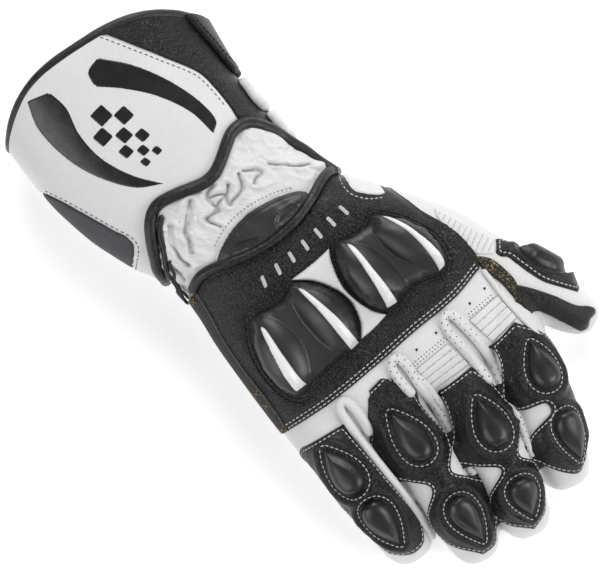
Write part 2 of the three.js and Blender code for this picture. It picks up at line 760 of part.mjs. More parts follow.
const centreOutline = [
  [0.25, 0.24], [0.265, 0.0], [0.29, -0.13], [0.34, -0.02], [0.45, 0.02], [0.6, -0.04], [0.655, -0.13],
  [0.645, 0.0],
  [0.625, 0.13], [0.55, 0.08], [0.43, 0.06], [0.31, 0.13],
].map(handSpot);
let centre = sheet(centreOutline, guardLow, guardHigh + gap);
for (const index of [1, 2]) centre = centre.subtract(domeSolid(index, gap));
for (const { outline } of Object.values(saddles)) {
  centre = centre.subtract(prism(grown(outline.map(handSpot), gap)));
}
addNode("knuckle_guard_center", centre, "white");

// Finger welts: hairpin loops of rolled leather between the finger roots. side: half widths of the finger.
const fingerWelts = table(
  "digit path",
  [
    "ring",
    [
      [0.42, -0.95], [0.28, -1.0], [0.14, -1.03], [0.02, -1.1], [-0.06, -1.25], [-0.05, -1.45], [0.04, -1.5],
      [0.16, -1.4], [0.3, -1.25],
    ],
  ],
  [
    "ring",
    [
      [0.04, 0.86], [-0.04, 0.72], [-0.11, 0.74], [-0.15, 0.95], [-0.12, 1.13], [-0.02, 1.2], [0.1, 1.28],
      [0.22, 1.3],
    ],
  ],
  [
    "middle",
    [
      [0.1, 0.92], [-0.02, 0.62], [-0.14, 0.36], [-0.23, 0.25], [-0.29, 0.38], [-0.24, 0.6], [-0.12, 0.85],
      [0.0, 1.05], [0.08, 1.14],
    ],
  ],
);
const fingerWeltBars = fingerWelts.map(({ digit, path }) => {
  const laid = lay(path.map(digitSpot(digit)), seated * fingerWeltRadius, fingerValley);
  return [bar(laid, fingerWeltRadius, 10), bar(laid, fingerWeltRadius + gap, 10)];
});
fingerWeltBars.forEach(([solid], index) => {
  addNode(`finger_welt_${index + 1}`, solid.subtract(room(gap)), "white");
});

// Finger patches with two sliders each, in shares of the finger. A slider runs from its tip to its round end.
const patches = table(
  "digit outline sliders",
  [
    "little",
    [
      [-0.02, -0.98], [0.01, 0.52], [0.26, 0.6], [0.51, 0.68], [0.78, 0.74], [0.86, 0.6], [0.93, 0.35],
      [0.94, -0.14], [0.86, -0.66], [0.68, -0.86], [0.4, -1.0], [0.09, -1.05],
    ],
    [[[0.06, -0.36], [0.42, -0.25]], [[0.84, -0.2], [0.49, -0.28]]],
  ],
  [
    "ring",
    [
      [-0.04, -0.72], [-0.08, 0.3], [0.08, 0.68], [0.32, 0.84], [0.4, 0.8], [0.5, 0.5], [0.58, 0.84],
      [0.82, 0.82], [0.95, 0.5], [0.96, 0.0], [0.8, -0.74], [0.61, -0.76], [0.51, -0.35], [0.4, -0.8],
      [0.17, -0.84], [0.08, -0.8],
    ],
    [[[0.09, -0.14], [0.38, 0.05]], [[0.89, 0.2], [0.63, 0.08]]],
  ],
  [
    "middle",
    [
      [0.07, -0.64], [0.04, 0.44], [0.16, 0.76], [0.34, 0.85], [0.42, 0.85], [0.56, 0.55], [0.61, 0.85],
      [0.76, 0.84], [0.9, 0.6], [0.96, 0.07], [0.85, -0.68], [0.67, -0.66], [0.58, -0.1], [0.49, -0.76],
      [0.31, -0.84], [0.15, -0.76],
    ],
    [[[0.17, 0.08], [0.47, 0.2]], [[0.89, 0.15], [0.66, 0.22]]],
  ],
  [
    "index",
    [
      [-0.02, 0.15], [0.05, -0.6], [0.15, -0.64], [0.28, -0.8], [0.45, -0.68], [0.47, 0.1], [0.52, 0.16],
      [0.62, -0.62], [0.78, -0.64], [0.92, 0.3], [0.88, 0.6], [0.72, 1.0], [0.59, 1.05], [0.46, 1.02],
      [0.3, 1.05], [0.1, 0.9],
    ],
    [[[0.1, 0.3], [0.4, 0.42]], [[0.86, 0.45], [0.54, 0.48]]],
  ],
);
const sliderLevels = [0, 32, 62];
for (const { digit, outline, sliders } of patches) {
  const spot = digitSpot(digit);
  let patch = sheet(outline.map(spot), panelLow, panelHigh, 0.85, digits[digit]);
  for (const [, clear] of fingerWeltBars) patch = patch.subtract(clear);
  addNode(`finger_patch_${digit}`, patch, "black");
  sliders.forEach(([tip, end], index) => {
    const drop = dome(teardrop(spot(tip), spot(end), sliderWidth), guardLow, sliderHeight, sliderLevels);
    const slider = drop.subtract(room(guardLow)).intersect(over(digits[digit], 0.9));
    addNode(`finger_slider_${digit}_${index + 1}`, slider, "moulded");
  });
}

// Piping along the thumb's side of the hand, from the back panel to the index finger's patch.
const pipingPath = [[0.7, 0.885], [0.78, 0.89], [0.87, 0.9], [0.93, 0.91]].map(handSpot);
const pipingBar = (extra) => bar(lay(pipingPath, seated * cordRadius), cordRadius + extra, 5);
addNode("radial_piping", pipingBar(0).subtract(room(gap)), "white");

// Stretch panels: a thin sheet with ribs across it, between two long sides of a four-cornered outline.
function ribbed([a, b, c, d], ribs, member) {
  const ribShare = 0.7;
  const base = 0.8;
  const baseHigh = panelLow + panelThickness / 2;
  let panel = sheet([a, b, c, d], panelLow, baseHigh, base, member);
  const between = (from, to, share) => [mix(from[0], to[0], share), mix(from[1], to[1], share)];
  for (let i = 0; i < ribs; i += 1) {
    const start = (i + (1 - ribShare) / 2) / ribs;
    const end = start + ribShare / ribs;
    const band = [between(a, d, start), between(b, c, start), between(b, c, end), between(a, d, end)];
    panel = panel.add(sheet(band, panelLow, baseHigh + ribHeight, base, member));
  }
  return panel;
}
const stretchPanels = {
  stretch_panel_middle: {
    corners: [[-0.11, -0.98], [-0.17, 0.12], [0.0, 0.4], [0.045, -0.7]],
    ribs: 3,
    member: "middle",
  },
  stretch_panel_index: {
    corners: [[-0.14, -1.05], [-0.19, 0.15], [-0.05, 0.3], [0.02, -0.75]],
    ribs: 3,
    member: "index",
  },
  thumb_stretch_panel: {
    corners: [[0.07, 0.98], [0.07, 0.15], [0.36, 0.15], [0.38, 1.02]],
    ribs: 7,
    member: "thumb",
  },
};
for (const [name, { corners, ribs, member }] of Object.entries(stretchPanels)) {
  let panel = ribbed(corners.map(digitSpot(member)), ribs, digits[member]);
  for (const [, clear] of fingerWeltBars) panel = panel.subtract(clear);
  if (member === "index") panel = panel.subtract(pipingBar(gap));
  if (name === "thumb_stretch_panel") panel = panel.subtract(prism(grown(backOutline, gap)));
  addNode(name, panel, "white");
}

// Thumb: outer patch with its slider, side strip, and the mesh between thumb and hand.
const thumbSpot = digitSpot("thumb");
const thumbPatch = [
  [0.4, 0.98], [0.5, 1.3], [0.78, 1.3], [0.84, 0.7], [0.84, 0.52], [0.74, 0.4], [0.62, 0.28], [0.5, 0.42],
  [0.41, 0.38],
].map(thumbSpot);
addNode("thumb_patch", sheet(thumbPatch, panelLow, panelHigh, 0.75, digits.thumb), "black");
const thumbSliderOutline = rounded(
  [[0.48, 0.85], [0.55, 1.02], [0.66, 1.04], [0.75, 0.86], [0.66, 0.58], [0.55, 0.6]].map(thumbSpot),
  12,
);
const thumbSlider = dome(thumbSliderOutline, guardLow, thumbSliderHeight, sliderLevels, thumbSliderFloor);
addNode("thumb_slider", thumbSlider.subtract(room(guardLow)), "moulded");
const thumbSide = [
  [0.55, -0.25], [0.75, 0.02], [0.95, 0.3], [0.975, 0.1], [0.97, -0.5], [0.8, -0.72], [0.62, -0.85],
].map(thumbSpot);
addNode("thumb_side_strip", sheet(thumbSide, panelLow, panelHigh, 0.9, digits.thumb), "black");
const meshOutline = [
  [0.635, 0.955], [0.7, 0.94], [0.78, 0.945], [0.88, 0.95], [0.88, 1.02], [0.8, 1.04], [0.72, 1.04],
  [0.64, 1.02],
].map(handSpot);
let thumbMesh = sheet(meshOutline, panelLow, panelHigh, 0.7);
const meshNeighbours = [thumbPatch, thumbSide, stretchPanels.thumb_stretch_panel.corners.map(thumbSpot)];
for (const outline of meshNeighbours) thumbMesh = thumbMesh.subtract(prism(grown(outline, gap)));
addNode("thumb_mesh", thumbMesh, "black");

// The origin is the middle of the resting face's bounding box.
const bounds = new THREE.Box3().setFromObject(glove);
const middle = bounds.getCenter(new THREE.Vector3());
glove.position.set(-middle.x, -middle.y, -bounds.min.z);

export default glove;
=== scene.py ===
# A long leather racing glove for the right hand, lying palm down, dressed over its frame.
import math
import random

import bmesh
import bpy
import numpy as np
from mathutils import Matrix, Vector, geometry, noise
from mathutils.bvhtree import BVHTree
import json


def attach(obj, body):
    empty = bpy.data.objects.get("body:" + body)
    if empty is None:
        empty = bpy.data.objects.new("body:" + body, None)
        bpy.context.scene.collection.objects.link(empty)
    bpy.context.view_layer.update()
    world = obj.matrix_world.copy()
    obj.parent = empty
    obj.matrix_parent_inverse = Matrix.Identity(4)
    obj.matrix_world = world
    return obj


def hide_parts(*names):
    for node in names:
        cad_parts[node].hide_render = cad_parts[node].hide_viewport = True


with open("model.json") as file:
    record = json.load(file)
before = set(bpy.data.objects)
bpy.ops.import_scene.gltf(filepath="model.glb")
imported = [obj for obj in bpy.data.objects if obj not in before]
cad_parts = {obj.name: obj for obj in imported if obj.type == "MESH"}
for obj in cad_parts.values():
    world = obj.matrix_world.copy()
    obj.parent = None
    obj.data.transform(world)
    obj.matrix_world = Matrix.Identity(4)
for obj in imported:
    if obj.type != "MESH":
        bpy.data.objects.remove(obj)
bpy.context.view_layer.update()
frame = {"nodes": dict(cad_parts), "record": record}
bpy.ops.object.select_all(action="DESELECT")
random.seed(7)
print("frame loaded:", len(frame["nodes"]), "nodes")

# Sizes of the frame in millimetres, and where its palm rests.
cuff = {"length": 110, "width": 102, "height": 64, "lean": 21, "bow": 20, "bowThumb": 18}
wrist = {"width": 87, "height": 50, "offset": 22}
hand = {"length": 104, "height": 40, "rest": 30.2}
finger = {"width": 28, "clearance": 1.5, "height": 28, "rise": 24}
thumb = {"width": 24.5, "height": 27, "rise": 21, "length": 92, "angle": 30, "root": (0.24, 0.315)}
leather = {"wall": 1.7, "gap": 0.3, "panel": 1.3, "sink": 1.6}

pitch = finger["width"] + finger["clearance"]
handWidth = 4 * pitch + 2 * finger["clearance"]
wristX = -hand["length"] / 2
rimX = wristX - cuff["length"]
rimEdge = rimX + 2.3  # in the middle of the binding
guardSeat = leather["panel"] + 2 * leather["gap"]
restPlace = frame["record"]["mounts"][0]["pos_m"]
shift = np.array([restPlace[0] * 1000 - hand["rest"], restPlace[1] * 1000, 0])


def mix(a, b, share):
    return a + (b - a) * share


def toScene(points):
    return (np.asarray(points) + shift) * 0.001


def signedPower(value, exponent):
    return np.sign(value) * np.abs(value) ** exponent


# Camera over the glove's back, turned so that the fingers point to the lower right.
view = {"aim": (-19.7, -19.0), "height": 1600, "lens": 211.95, "turn": 57}
aim = toScene([view["aim"][0], view["aim"][1], 0])
bpy.ops.object.camera_add(
    location=(aim[0], aim[1], view["height"] * 0.001), rotation=(0, 0, math.radians(view["turn"]))
)
bpy.context.object.data.lens = view["lens"]
bpy.context.object.data.sensor_width = 36
bpy.context.scene.camera = bpy.context.object

# Body sections: share of the cuff's or hand's length, of the lean, and width and height against a taper.
cuffSections = [
    (0.0, 1.0, 1.0, 1.0), (0.36, 0.95, 1.02, 0.99), (0.63, 0.75, 1.03, 0.98), (0.78, 0.56, 1.02, 0.98),
    (0.92, 0.23, 1.018, 0.98),
]
handSections = [
    (0.0, 1.0, 1.0, 1.0), (0.16, 0.63, 1.075, 0.98), (0.34, 0.37, 1.13, 0.97), (0.55, 0.12, 1.14, 0.98),
    (0.79, 0.01, 1.07, 1.02), (0.92, 0.0, 1.01, 0.97), (0.98, 0.0, 0.96, 0.84), (1.02, 0.0, 0.86, 0.6),
]
# Finger sections: share of the length, then height of the axis, half width and height against the root's.
fingerSections = [
    (-0.3, 0.86, 0.97, 0.96), (0.0, 0.96, 1.0, 1.0), (0.22, 1.05, 0.99, 1.0), (0.45, 1.05, 0.98, 0.97),
    (0.65, 0.88, 0.95, 0.94), (0.8, 0.65, 0.91, 0.9), (0.91, 0.48, 0.8, 0.82), (0.97, 0.41, 0.6, 0.66),
    (1.0, 0.37, 0.33, 0.38),
]
thumbSections = [
    (-0.22, 1.0, 0.9, 0.8), (0.0, 1.02, 1.2, 1.0), (0.16, 1.02, 1.3, 1.06), (0.35, 1.0, 1.18, 1.04),
    (0.55, 0.95, 1.02, 1.0), (0.72, 0.84, 0.97, 0.96), (0.85, 0.64, 0.88, 0.9), (0.94, 0.52, 0.68, 0.76),
    (0.985, 0.46, 0.4, 0.5),
]
# Fingers: root and tip as shares of the hand's length and in finger pitches, and their width.
fingers = {
    "little": (0.4, 1.08, -1.5, -1.36, 0.97),
    "ring": (0.4, 1.24, -0.43, -0.53, 0.98),
    "middle": (0.48, 1.265, 0.69, 0.28, 0.98),
    "index": (0.46, 1.18, 1.69, 1.17, 0.98),
}

bodyRows = []
for at, lean, bulge, thick in cuffSections:
    width = mix(cuff["width"], wrist["width"], at) * bulge
    height = mix(cuff["height"], wrist["height"], at) * thick
    lie = -wrist["offset"] - cuff["lean"] * lean
    along = mix(rimEdge + 2.6, wristX, at)
    bodyRows.append((along, lie, width / 2, (height - leather["sink"]) / 2, (height + leather["sink"]) / 2))
for at, lean, bulge, thick in handSections:
    width = mix(wrist["width"], handWidth, at) * bulge
    height = mix(wrist["height"], hand["height"], at)
    low, high = (height - leather["sink"]) / 2, (height * thick + leather["sink"]) / 2
    bodyRows.append((mix(wristX, -wristX, at), -wrist["offset"] * lean, width / 2, low, high))


def limb(origin, heading, rows, power, bowed=False):
    return {
        "origin": np.array(origin, float), "heading": heading, "rows": np.array(rows, float), "power": power,
        "bowed": bowed, "first": rows[0][0], "last": rows[-1][0],
    }


limbs = {"body": limb((0, 0), 0, bodyRows, 2.4, True)}
for name, (rootX, tipX, rootY, tipY, width) in fingers.items():
    root = np.array([rootX * hand["length"], rootY * pitch])
    reach = np.array([tipX * hand["length"], tipY * pitch]) - root
    length = math.hypot(*reach)
    rows = [
        (at * length, 0, width * finger["width"] * half / 2, finger["rise"] * rise, finger["height"] * above / 2)
        for at, rise, half, above in fingerSections
    ]
    limbs[name] = limb(root, math.atan2(reach[1], reach[0]), rows, 2.2)
    limbs[name].update(length=length, width=width * finger["width"])
rows = [
    (at * thumb["length"], 0, thumb["width"] * half / 2, thumb["rise"] * rise, thumb["height"] * above / 2)
    for at, rise, half, above in thumbSections
]
thumbRoot = (thumb["root"][0] * wristX, thumb["root"][1] * handWidth)
limbs["thumb"] = limb(thumbRoot, math.radians(thumb["angle"]), rows, 2.2)
limbs["thumb"].update(length=thumb["length"], width=thumb["width"])


# The limb's section at places along it, on a smooth curve through its rows: lie, half width, axis, height.
def sectionAt(member, along):
    rows = member["rows"]
    at = rows[:, 0]
    i = np.clip(np.searchsorted(at, along, side="right") - 1, 0, len(at) - 2)
    before = np.maximum(i - 1, 0)
    after = np.minimum(i + 2, len(at) - 1)
    span = at[i + 1] - at[i]
    t = np.clip((along - at[i]) / span, 0, 1)[:, None]
    span = span[:, None]
    leave = (rows[i + 1, 1:] - rows[before, 1:]) / (at[i + 1] - at[before])[:, None] * span
    arrive = (rows[after, 1:] - rows[i, 1:]) / (at[after] - at[i])[:, None] * span
    low = rows[i, 1:] * (2 * t**3 - 3 * t**2 + 1) + leave * (t**3 - 2 * t**2 + t)
    high = rows[i + 1, 1:] * (3 * t**2 - 2 * t**3) + arrive * (t**3 - t**2)
    return (low + high).T


# How far the rim's bow moves a place of the cuff towards the fingers.
def bowAt(along, share):
    bow = np.where(share > 0, cuff["bowThumb"], cuff["bow"])
    return bow * np.abs(share) ** 3 * np.maximum(0, (wristX - along) / cuff["length"]) ** 2


# Points of a limb's skin. turn is the angle from the top towards the thumb's side.
def skinPoints(member, along, turn, offset=0.0, straight=False):
    lie, half, rise, above = sectionAt(member, along)
    share = signedPower(np.sin(turn), 2 / member["power"])
    level = signedPower(np.cos(turn), 2 / member["power"])
    place = along + (bowAt(along, share) if member["bowed"] and not straight else 0)
    across = lie + (half + offset) * share
    cos, sin = math.cos(member["heading"]), math.sin(member["heading"])
    x = member["origin"][0] + place * cos - across * sin
    y = member["origin"][1] + place * sin + across * cos
    return np.stack([x, y, rise + (above + offset) * level], axis=1)


# Directions out of the skin at the same places.
def skinNormals(member, along, turn):
    _, half, _, above = sectionAt(member, along)
    power = 2 - 2 / member["power"]
    side = signedPower(np.sin(turn), power) / half
    up = signedPower(np.cos(turn), power) / above
    size = np.hypot(side, up)
    cos, sin = math.cos(member["heading"]), math.sin(member["heading"])
    return np.stack([-side * sin, side * cos, up], axis=1) / size[:, None]


# Makes a mesh object from points in the glove's millimetres.
def meshObject(name, points, faces):
    mesh = bpy.data.meshes.new(name)
    mesh.from_pydata([tuple(point) for point in toScene(points)], [], [tuple(face) for face in faces])
    mesh.update()
    made = bpy.data.objects.new(name, mesh)
    bpy.context.collection.objects.link(made)
    mesh.polygons.foreach_set("use_smooth", [True] * len(mesh.polygons))
    return made


# Gives a piece its finish and slot, and stands it in for nodes of the frame.
def dress(piece, finish, nodes=()):
    piece.data.materials.append(finishes[finish])
    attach(piece, "root")
    if nodes:
        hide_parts(*nodes)


def readPoints(made):
    flat = np.empty(len(made.data.vertices) * 3)
    made.data.vertices.foreach_get("co", flat)
    return flat.reshape(-1, 3) * 1000 - shift


def writePoints(made, points):
    made.data.vertices.foreach_set("co", toScene(points).ravel())
    made.data.update()


# Evens out points along the edges between them, apart from those that are held.
def relax(points, edges, rounds, held):
    ends = np.concatenate([edges[:, 0], edges[:, 1]])
    others = np.concatenate([edges[:, 1], edges[:, 0]])
    count = np.maximum(np.bincount(ends, minlength=len(points)), 1)
    for _ in range(rounds):
        middle = np.stack(
            [np.bincount(ends, weights=points[others, axis], minlength=len(points)) / count for axis in range(3)],
            axis=1,
        )
        points = np.where(held[:, None], points, mix(points, middle, 0.6))
    return points


# Finishes. A wire is a node's output that can be multiplied by another.
class Wire:
    def __init__(self, finish, socket):
        self.finish = finish
        self.socket = socket

    def __mul__(self, other):
        return self.finish.node("ShaderNodeMath", {"operation": "MULTIPLY"}, (self, other))


class Finish:
    def __init__(self, name, sockets):
        self.material = bpy.data.materials.new(name)
        self.material.use_nodes = True
        self.tree = self.material.node_tree
        self.shader = self.tree.nodes["Principled BSDF"]
        self.set(self.shader, sockets)
        self.coords = self.node("ShaderNodeTexCoord", output="Object")

    def set(self, made, sockets):
        for place, value in sockets.items() if isinstance(sockets, dict) else enumerate(sockets):
            if isinstance(value, Wire):
                self.tree.links.new(value.socket, made.inputs[place])
            else:
                made.inputs[place].default_value = value

    def node(self, kind, settings=None, sockets=(), output=0):
        made = self.tree.nodes.new(kind)
        for key, value in (settings or {}).items():
            setattr(made, key, value)
        self.set(made, sockets)
        return Wire(self, made.outputs[output])

    def noise(self, size, detail=3.0, coords=None):
        sockets = {"Vector": coords or self.coords, "Scale": 1000 / size, "Detail": detail}
        return self.node("ShaderNodeTexNoise", None, sockets)

    def cells(self, size, feature="DISTANCE_TO_EDGE", coords=None):
        sockets = {"Vector": coords or self.coords, "Scale": 1000 / size}
        output = "Color" if feature == "F1" else "Distance"
        return self.node("ShaderNodeTexVoronoi", {"feature": feature}, sockets, output)

    def limit(self, value, low, high, to=(0.0, 1.0)):
        sockets = {"Value": value, "From Min": low, "From Max": high, "To Min": to[0], "To Max": to[1]}
        return self.node("ShaderNodeMapRange", {"interpolation_type": "SMOOTHSTEP"}, sockets)

    def blend(self, share, first, second):
        sockets = {0: share, 6: first, 7: second}
        return self.node("ShaderNodeMix", {"data_type": "RGBA"}, sockets, 2)

    def warp(self, size, amount):
        shaken = self.node("ShaderNodeTexNoise", None, {"Vector": self.coords, "Scale": 1000 / size}, 1)
        scaled = self.node("ShaderNodeVectorMath", {"operation": "SCALE"}, {0: shaken, "Scale": amount * 0.001})
        return self.node("ShaderNodeVectorMath", {"operation": "ADD"}, (self.coords, scaled))

    def bump(self, height, depth, under=None):
        sockets = {"Strength": 1.0, "Distance": depth * 0.001, "Height": height}
        if under:
            sockets["Normal"] = under
        return self.node("ShaderNodeBump", None, sockets)


def rgb(*colour):
    return (*colour, 1.0)


# Leather: pebbled grain and a slight mottle, with painted shade darkening the creases of a crumpled piece.
def leatherFinish(name, look):
    finish = Finish(name, {"Specular IOR Level": look.get("specular", 0.5)})
    coords = finish.warp(3.0, 0.6)
    pebbles = finish.limit(finish.cells(look["cell"], coords=coords), 0.0, 0.28)
    mottle = finish.limit(finish.noise(look["mottle"]), 0.3, 0.7)
    colour = finish.blend(mottle, rgb(*look["dark"]), rgb(*look["colour"]))
    crevice = finish.blend(pebbles, rgb(*look["crevice"]), colour)
    rough = finish.limit(finish.noise(14.0), 0.3, 0.7, look["roughness"])
    normal = finish.bump(pebbles, look["grain"])
    normal = finish.bump(finish.noise(2.2, 4.0), look["pull"], normal)
    if "paintedCreaseShade" in look:
        # Painted shade: a crumpled piece's crease layer darkens its colour in the creases.
        creaseShadeMask = finish.node("ShaderNodeAttribute", {"attribute_name": "creaseShadeMask"}, output="Fac")
        crevice = finish.blend(creaseShadeMask, crevice, rgb(*look["paintedCreaseShade"]))
    finish.set(finish.shader, {"Base Color": crevice, "Roughness": rough, "Normal": normal})
    return finish.material


leathers = {
    "whiteLeather": {
        "colour": (0.75, 0.75, 0.748), "dark": (0.69, 0.69, 0.685), "crevice": (0.66, 0.66, 0.655), "cell": 0.8,
        # The white leather's colour for creases is painted shade.
        "mottle": 24.0, "grain": 0.035, "pull": 0.12, "roughness": (0.42, 0.56), "paintedCreaseShade": (0.16, 0.16, 0.155),
    },
    "blackLeather": {
        "colour": (0.013, 0.013, 0.014), "dark": (0.008, 0.008, 0.009), "crevice": (0.003, 0.003, 0.003),
        "cell": 1.0, "mottle": 18.0, "grain": 0.15, "pull": 0.12, "roughness": (0.28, 0.38), "specular": 0.38,
    },
    "greyLeather": {
        "colour": (0.105, 0.106, 0.112), "dark": (0.085, 0.086, 0.092), "crevice": (0.06, 0.06, 0.065),
        "cell": 0.6, "mottle": 8.0, "grain": 0.05, "pull": 0.1, "roughness": (0.7, 0.8), "specular": 0.25,
    },
    "blackBinding": {
        "colour": (0.014, 0.014, 0.015), "dark": (0.008, 0.008, 0.009), "crevice": (0.004, 0.004, 0.004),
        "cell": 0.8, "mottle": 6.0, "grain": 0.06, "pull": 0.3, "roughness": (0.26, 0.38),
    },
}


# Moulded plastic: smooth with a faint orange peel and scuffs.
def mouldedFinish(name, look):
    finish = Finish(name, {"Coat Roughness": 0.25})
    scuff = finish.limit(finish.noise(look["scuff"], 6.0), 0.35, 0.75)
    colour = finish.blend(scuff, rgb(*look["colour"]), rgb(*look["worn"]))
    rough = finish.limit(finish.noise(5.0, 5.0), 0.3, 0.7, look["roughness"])
    normal = finish.bump(finish.noise(0.7, 2.0), look["peel"])
    finish.set(finish.shader, {"Base Color": colour, "Roughness": rough, "Normal": normal})
    return finish.material


mouldings = {
    "mouldedBlack": {
        "colour": (0.02, 0.02, 0.021), "worn": (0.028, 0.028, 0.029), "scuff": 12.0, "roughness": (0.36, 0.46),
        "peel": 0.012,
    },
    "sliderBlack": {
        "colour": (0.012, 0.012, 0.013), "worn": (0.018, 0.018, 0.019), "scuff": 9.0, "roughness": (0.32, 0.42),
        "peel": 0.006,
    },
    "mouldedWhite": {
        "colour": (0.8, 0.8, 0.8), "worn": (0.74, 0.74, 0.735), "scuff": 10.0, "roughness": (0.24, 0.34),
        "peel": 0.008,
    },
    "printBlack": {
        "colour": (0.012, 0.012, 0.013), "worn": (0.016, 0.016, 0.017), "scuff": 9.0, "roughness": (0.2, 0.34),
        "peel": 0.03,
    },
    "printGrey": {
        "colour": (0.5, 0.5, 0.5), "worn": (0.42, 0.42, 0.42), "scuff": 4.0, "roughness": (0.4, 0.5),
        "peel": 0.02,
    },
}


# Thread, cord and other fabric: a twist or weave of fine ridges; also the painted shade of holes.
def fabricFinish(name, look):
    finish = Finish(name, {"Roughness": look["roughness"]})
    weave = finish.limit(finish.cells(look["size"], coords=finish.warp(4.0, 0.5)), 0.0, 0.4)
    colour = finish.blend(weave, rgb(*look["dark"]), rgb(*look["colour"]))
    if "fleck" in look:
        chance = finish.node("ShaderNodeSeparateColor", None, (finish.cells(look["size"], "F1"),))
        colour = finish.blend(finish.limit(chance, 0.7, 0.74) * weave, colour, rgb(*look["fleck"]))
    finish.set(finish.shader, {"Base Color": colour, "Normal": finish.bump(weave, look["depth"])})
    return finish.material


fabrics = {
    "whiteThread": {
        "colour": (0.72, 0.72, 0.7), "dark": (0.5, 0.5, 0.49), "size": 0.5, "depth": 0.05, "roughness": 0.7,
    },
    "greyThread": {
        "colour": (0.2, 0.2, 0.2), "dark": (0.1, 0.1, 0.1), "size": 0.5, "depth": 0.05, "roughness": 0.7,
    },
    "blackThread": {
        "colour": (0.02, 0.02, 0.02), "dark": (0.008, 0.008, 0.008), "size": 0.5, "depth": 0.05,
        "roughness": 0.55,
    },
    "yellowThread": {
        "colour": (0.42, 0.34, 0.08), "dark": (0.2, 0.16, 0.04), "size": 0.5, "depth": 0.05, "roughness": 0.7,
    },
    "darkFabric": {
        "colour": (0.05, 0.05, 0.052), "dark": (0.018, 0.018, 0.019), "size": 0.9, "depth": 0.14,
        "roughness": 0.8,
    },
    "meshFabric": {
        "colour": (0.02, 0.02, 0.02), "dark": (0.004, 0.004, 0.004), "size": 1.3, "depth": 0.3,
        "roughness": 0.7, "fleck": (0.4, 0.33, 0.12),
    },
    # Painted shade: the dark inside of holes and slots.
    "paintedHoleShade": {
        "colour": (0.012, 0.012, 0.012), "dark": (0.006, 0.006, 0.006), "size": 0.6, "depth": 0.02,
        "roughness": 0.9,
    },
}
finishes = {name: leatherFinish(name, look) for name, look in leathers.items()}
finishes.update({name: mouldedFinish(name, look) for name, look in mouldings.items()})
finishes.update({name: fabricFinish(name, look) for name, look in fabrics.items()})
print("finishes made")

# The skin: all limbs grown together and open at the rim.
skin = {"voxel": 1.5, "smooth": 7, "rings": 90, "sides": 96, "floor": 0.05}


def limbSolid(name, member, start):
    first, last = member["first"] - start, member["last"]
    along = np.repeat(np.linspace(first, last, skin["rings"]), skin["sides"])
    turn = np.tile(np.linspace(0, 2 * math.pi, skin["sides"], endpoint=False), skin["rings"])
    points = skinPoints(member, along, turn, straight=True)
    sides = skin["sides"]
    faces = [
        (r * sides + i, r * sides + (i + 1) % sides, (r + 1) * sides + (i + 1) % sides, (r + 1) * sides + i)
        for r in range(skin["rings"] - 1)
        for i in range(sides)
    ]
    faces.append(tuple(range(sides - 1, -1, -1)))
    faces.append(tuple((skin["rings"] - 1) * sides + i for i in range(sides)))
    return meshObject(name, points, faces)


parts = [limbSolid("limb_" + name, member, 9 if name == "body" else 0) for name, member in limbs.items()]
for part in parts:
    part.select_set(True)
bpy.context.view_layer.objects.active = parts[0]
bpy.ops.object.join()
gloveSkin = bpy.context.object
gloveSkin.name = "glove_skin"
bpy.ops.object.mode_set(mode="EDIT")
bpy.ops.mesh.select_all(action="SELECT")
bpy.ops.mesh.normals_make_consistent(inside=False)
bpy.ops.object.mode_set(mode="OBJECT")
gloveSkin.data.remesh_voxel_size = skin["voxel"] * 0.001
bpy.ops.object.voxel_remesh()
bpy.ops.object.modifier_add(type="SMOOTH")
gloveSkin.modifiers[0].iterations = skin["smooth"]
bpy.ops.object.modifier_apply(modifier=gloveSkin.modifiers[0].name)

# Cut open at the rim, then the rim is bowed.
points = readPoints(gloveSkin)
outside = points[:, 0] < rimEdge
shell = bmesh.new()
shell.from_mesh(gloveSkin.data)
shell.verts.ensure_lookup_table()
gone = [face for face in shell.faces if all(outside[vertex.index] for vertex in face.verts)]
bmesh.ops.delete(shell, geom=gone, context="FACES")
loose = [vertex for vertex in shell.verts if not vertex.link_faces]
bmesh.ops.delete(shell, geom=loose, context="VERTS")
shell.to_mesh(gloveSkin.data)
shell.free()
points = readPoints(gloveSkin)
lie, half, _, _ = sectionAt(limbs["body"], points[:, 0])
bodyAlong = points[:, 0].copy()
points[:, 0] += bowAt(bodyAlong, np.clip((points[:, 1] - lie) / half, -1, 1))
writePoints(gloveSkin, points)
print("skin grown together:", len(gloveSkin.data.polygons), "faces")

# Folds of the skin: soft lumps and gathers at the wrist, and a slight waviness all over.
folds = {
    "lump": 11.0, "lumpHeight": 0.9, "ridge": 5.5, "ridgeHeight": 0.55, "wave": 26.0, "waveHeight": 0.35,
    "centre": 66, "reach": 17, "front": -30, "above": 18,
}


def noiseAt(points, size, seed=0.0):
    return np.array([noise.noise(Vector((x / size + seed, y / size, z / size))) for x, y, z in points])


points = readPoints(gloveSkin)
onTop = np.clip(points[:, 2] / folds["above"] - 0.6, 0, 1)
gather = np.exp(-(((bodyAlong + folds["centre"]) / folds["reach"]) ** 2)) * onTop * (points[:, 0] < folds["front"])
flat = np.empty(len(points) * 3)
gloveSkin.data.vertices.foreach_get("normal", flat)
normals = flat.reshape(-1, 3)
stretched = points * [0.8, 1.25, 1]
height = folds["waveHeight"] * noiseAt(points, folds["wave"])
height += folds["lumpHeight"] * gather * noiseAt(stretched, folds["lump"], 3.1)
height += folds["ridgeHeight"] * gather * (0.5 - 2 * np.abs(noiseAt(stretched, folds["ridge"], 8.4)))
points = points + normals * height[:, None]
points[:, 2] = np.maximum(points[:, 2], skin["floor"])
writePoints(gloveSkin, points)
gloveSkin.data.polygons.foreach_set("use_smooth", [True] * len(gloveSkin.data.polygons))
gloveSkin.data.materials.clear()
skinTree = BVHTree.FromPolygons(
    [tuple(point) for point in points], [tuple(polygon.vertices) for polygon in gloveSkin.data.polygons]
)
bpy.context.view_layer.objects.active = gloveSkin
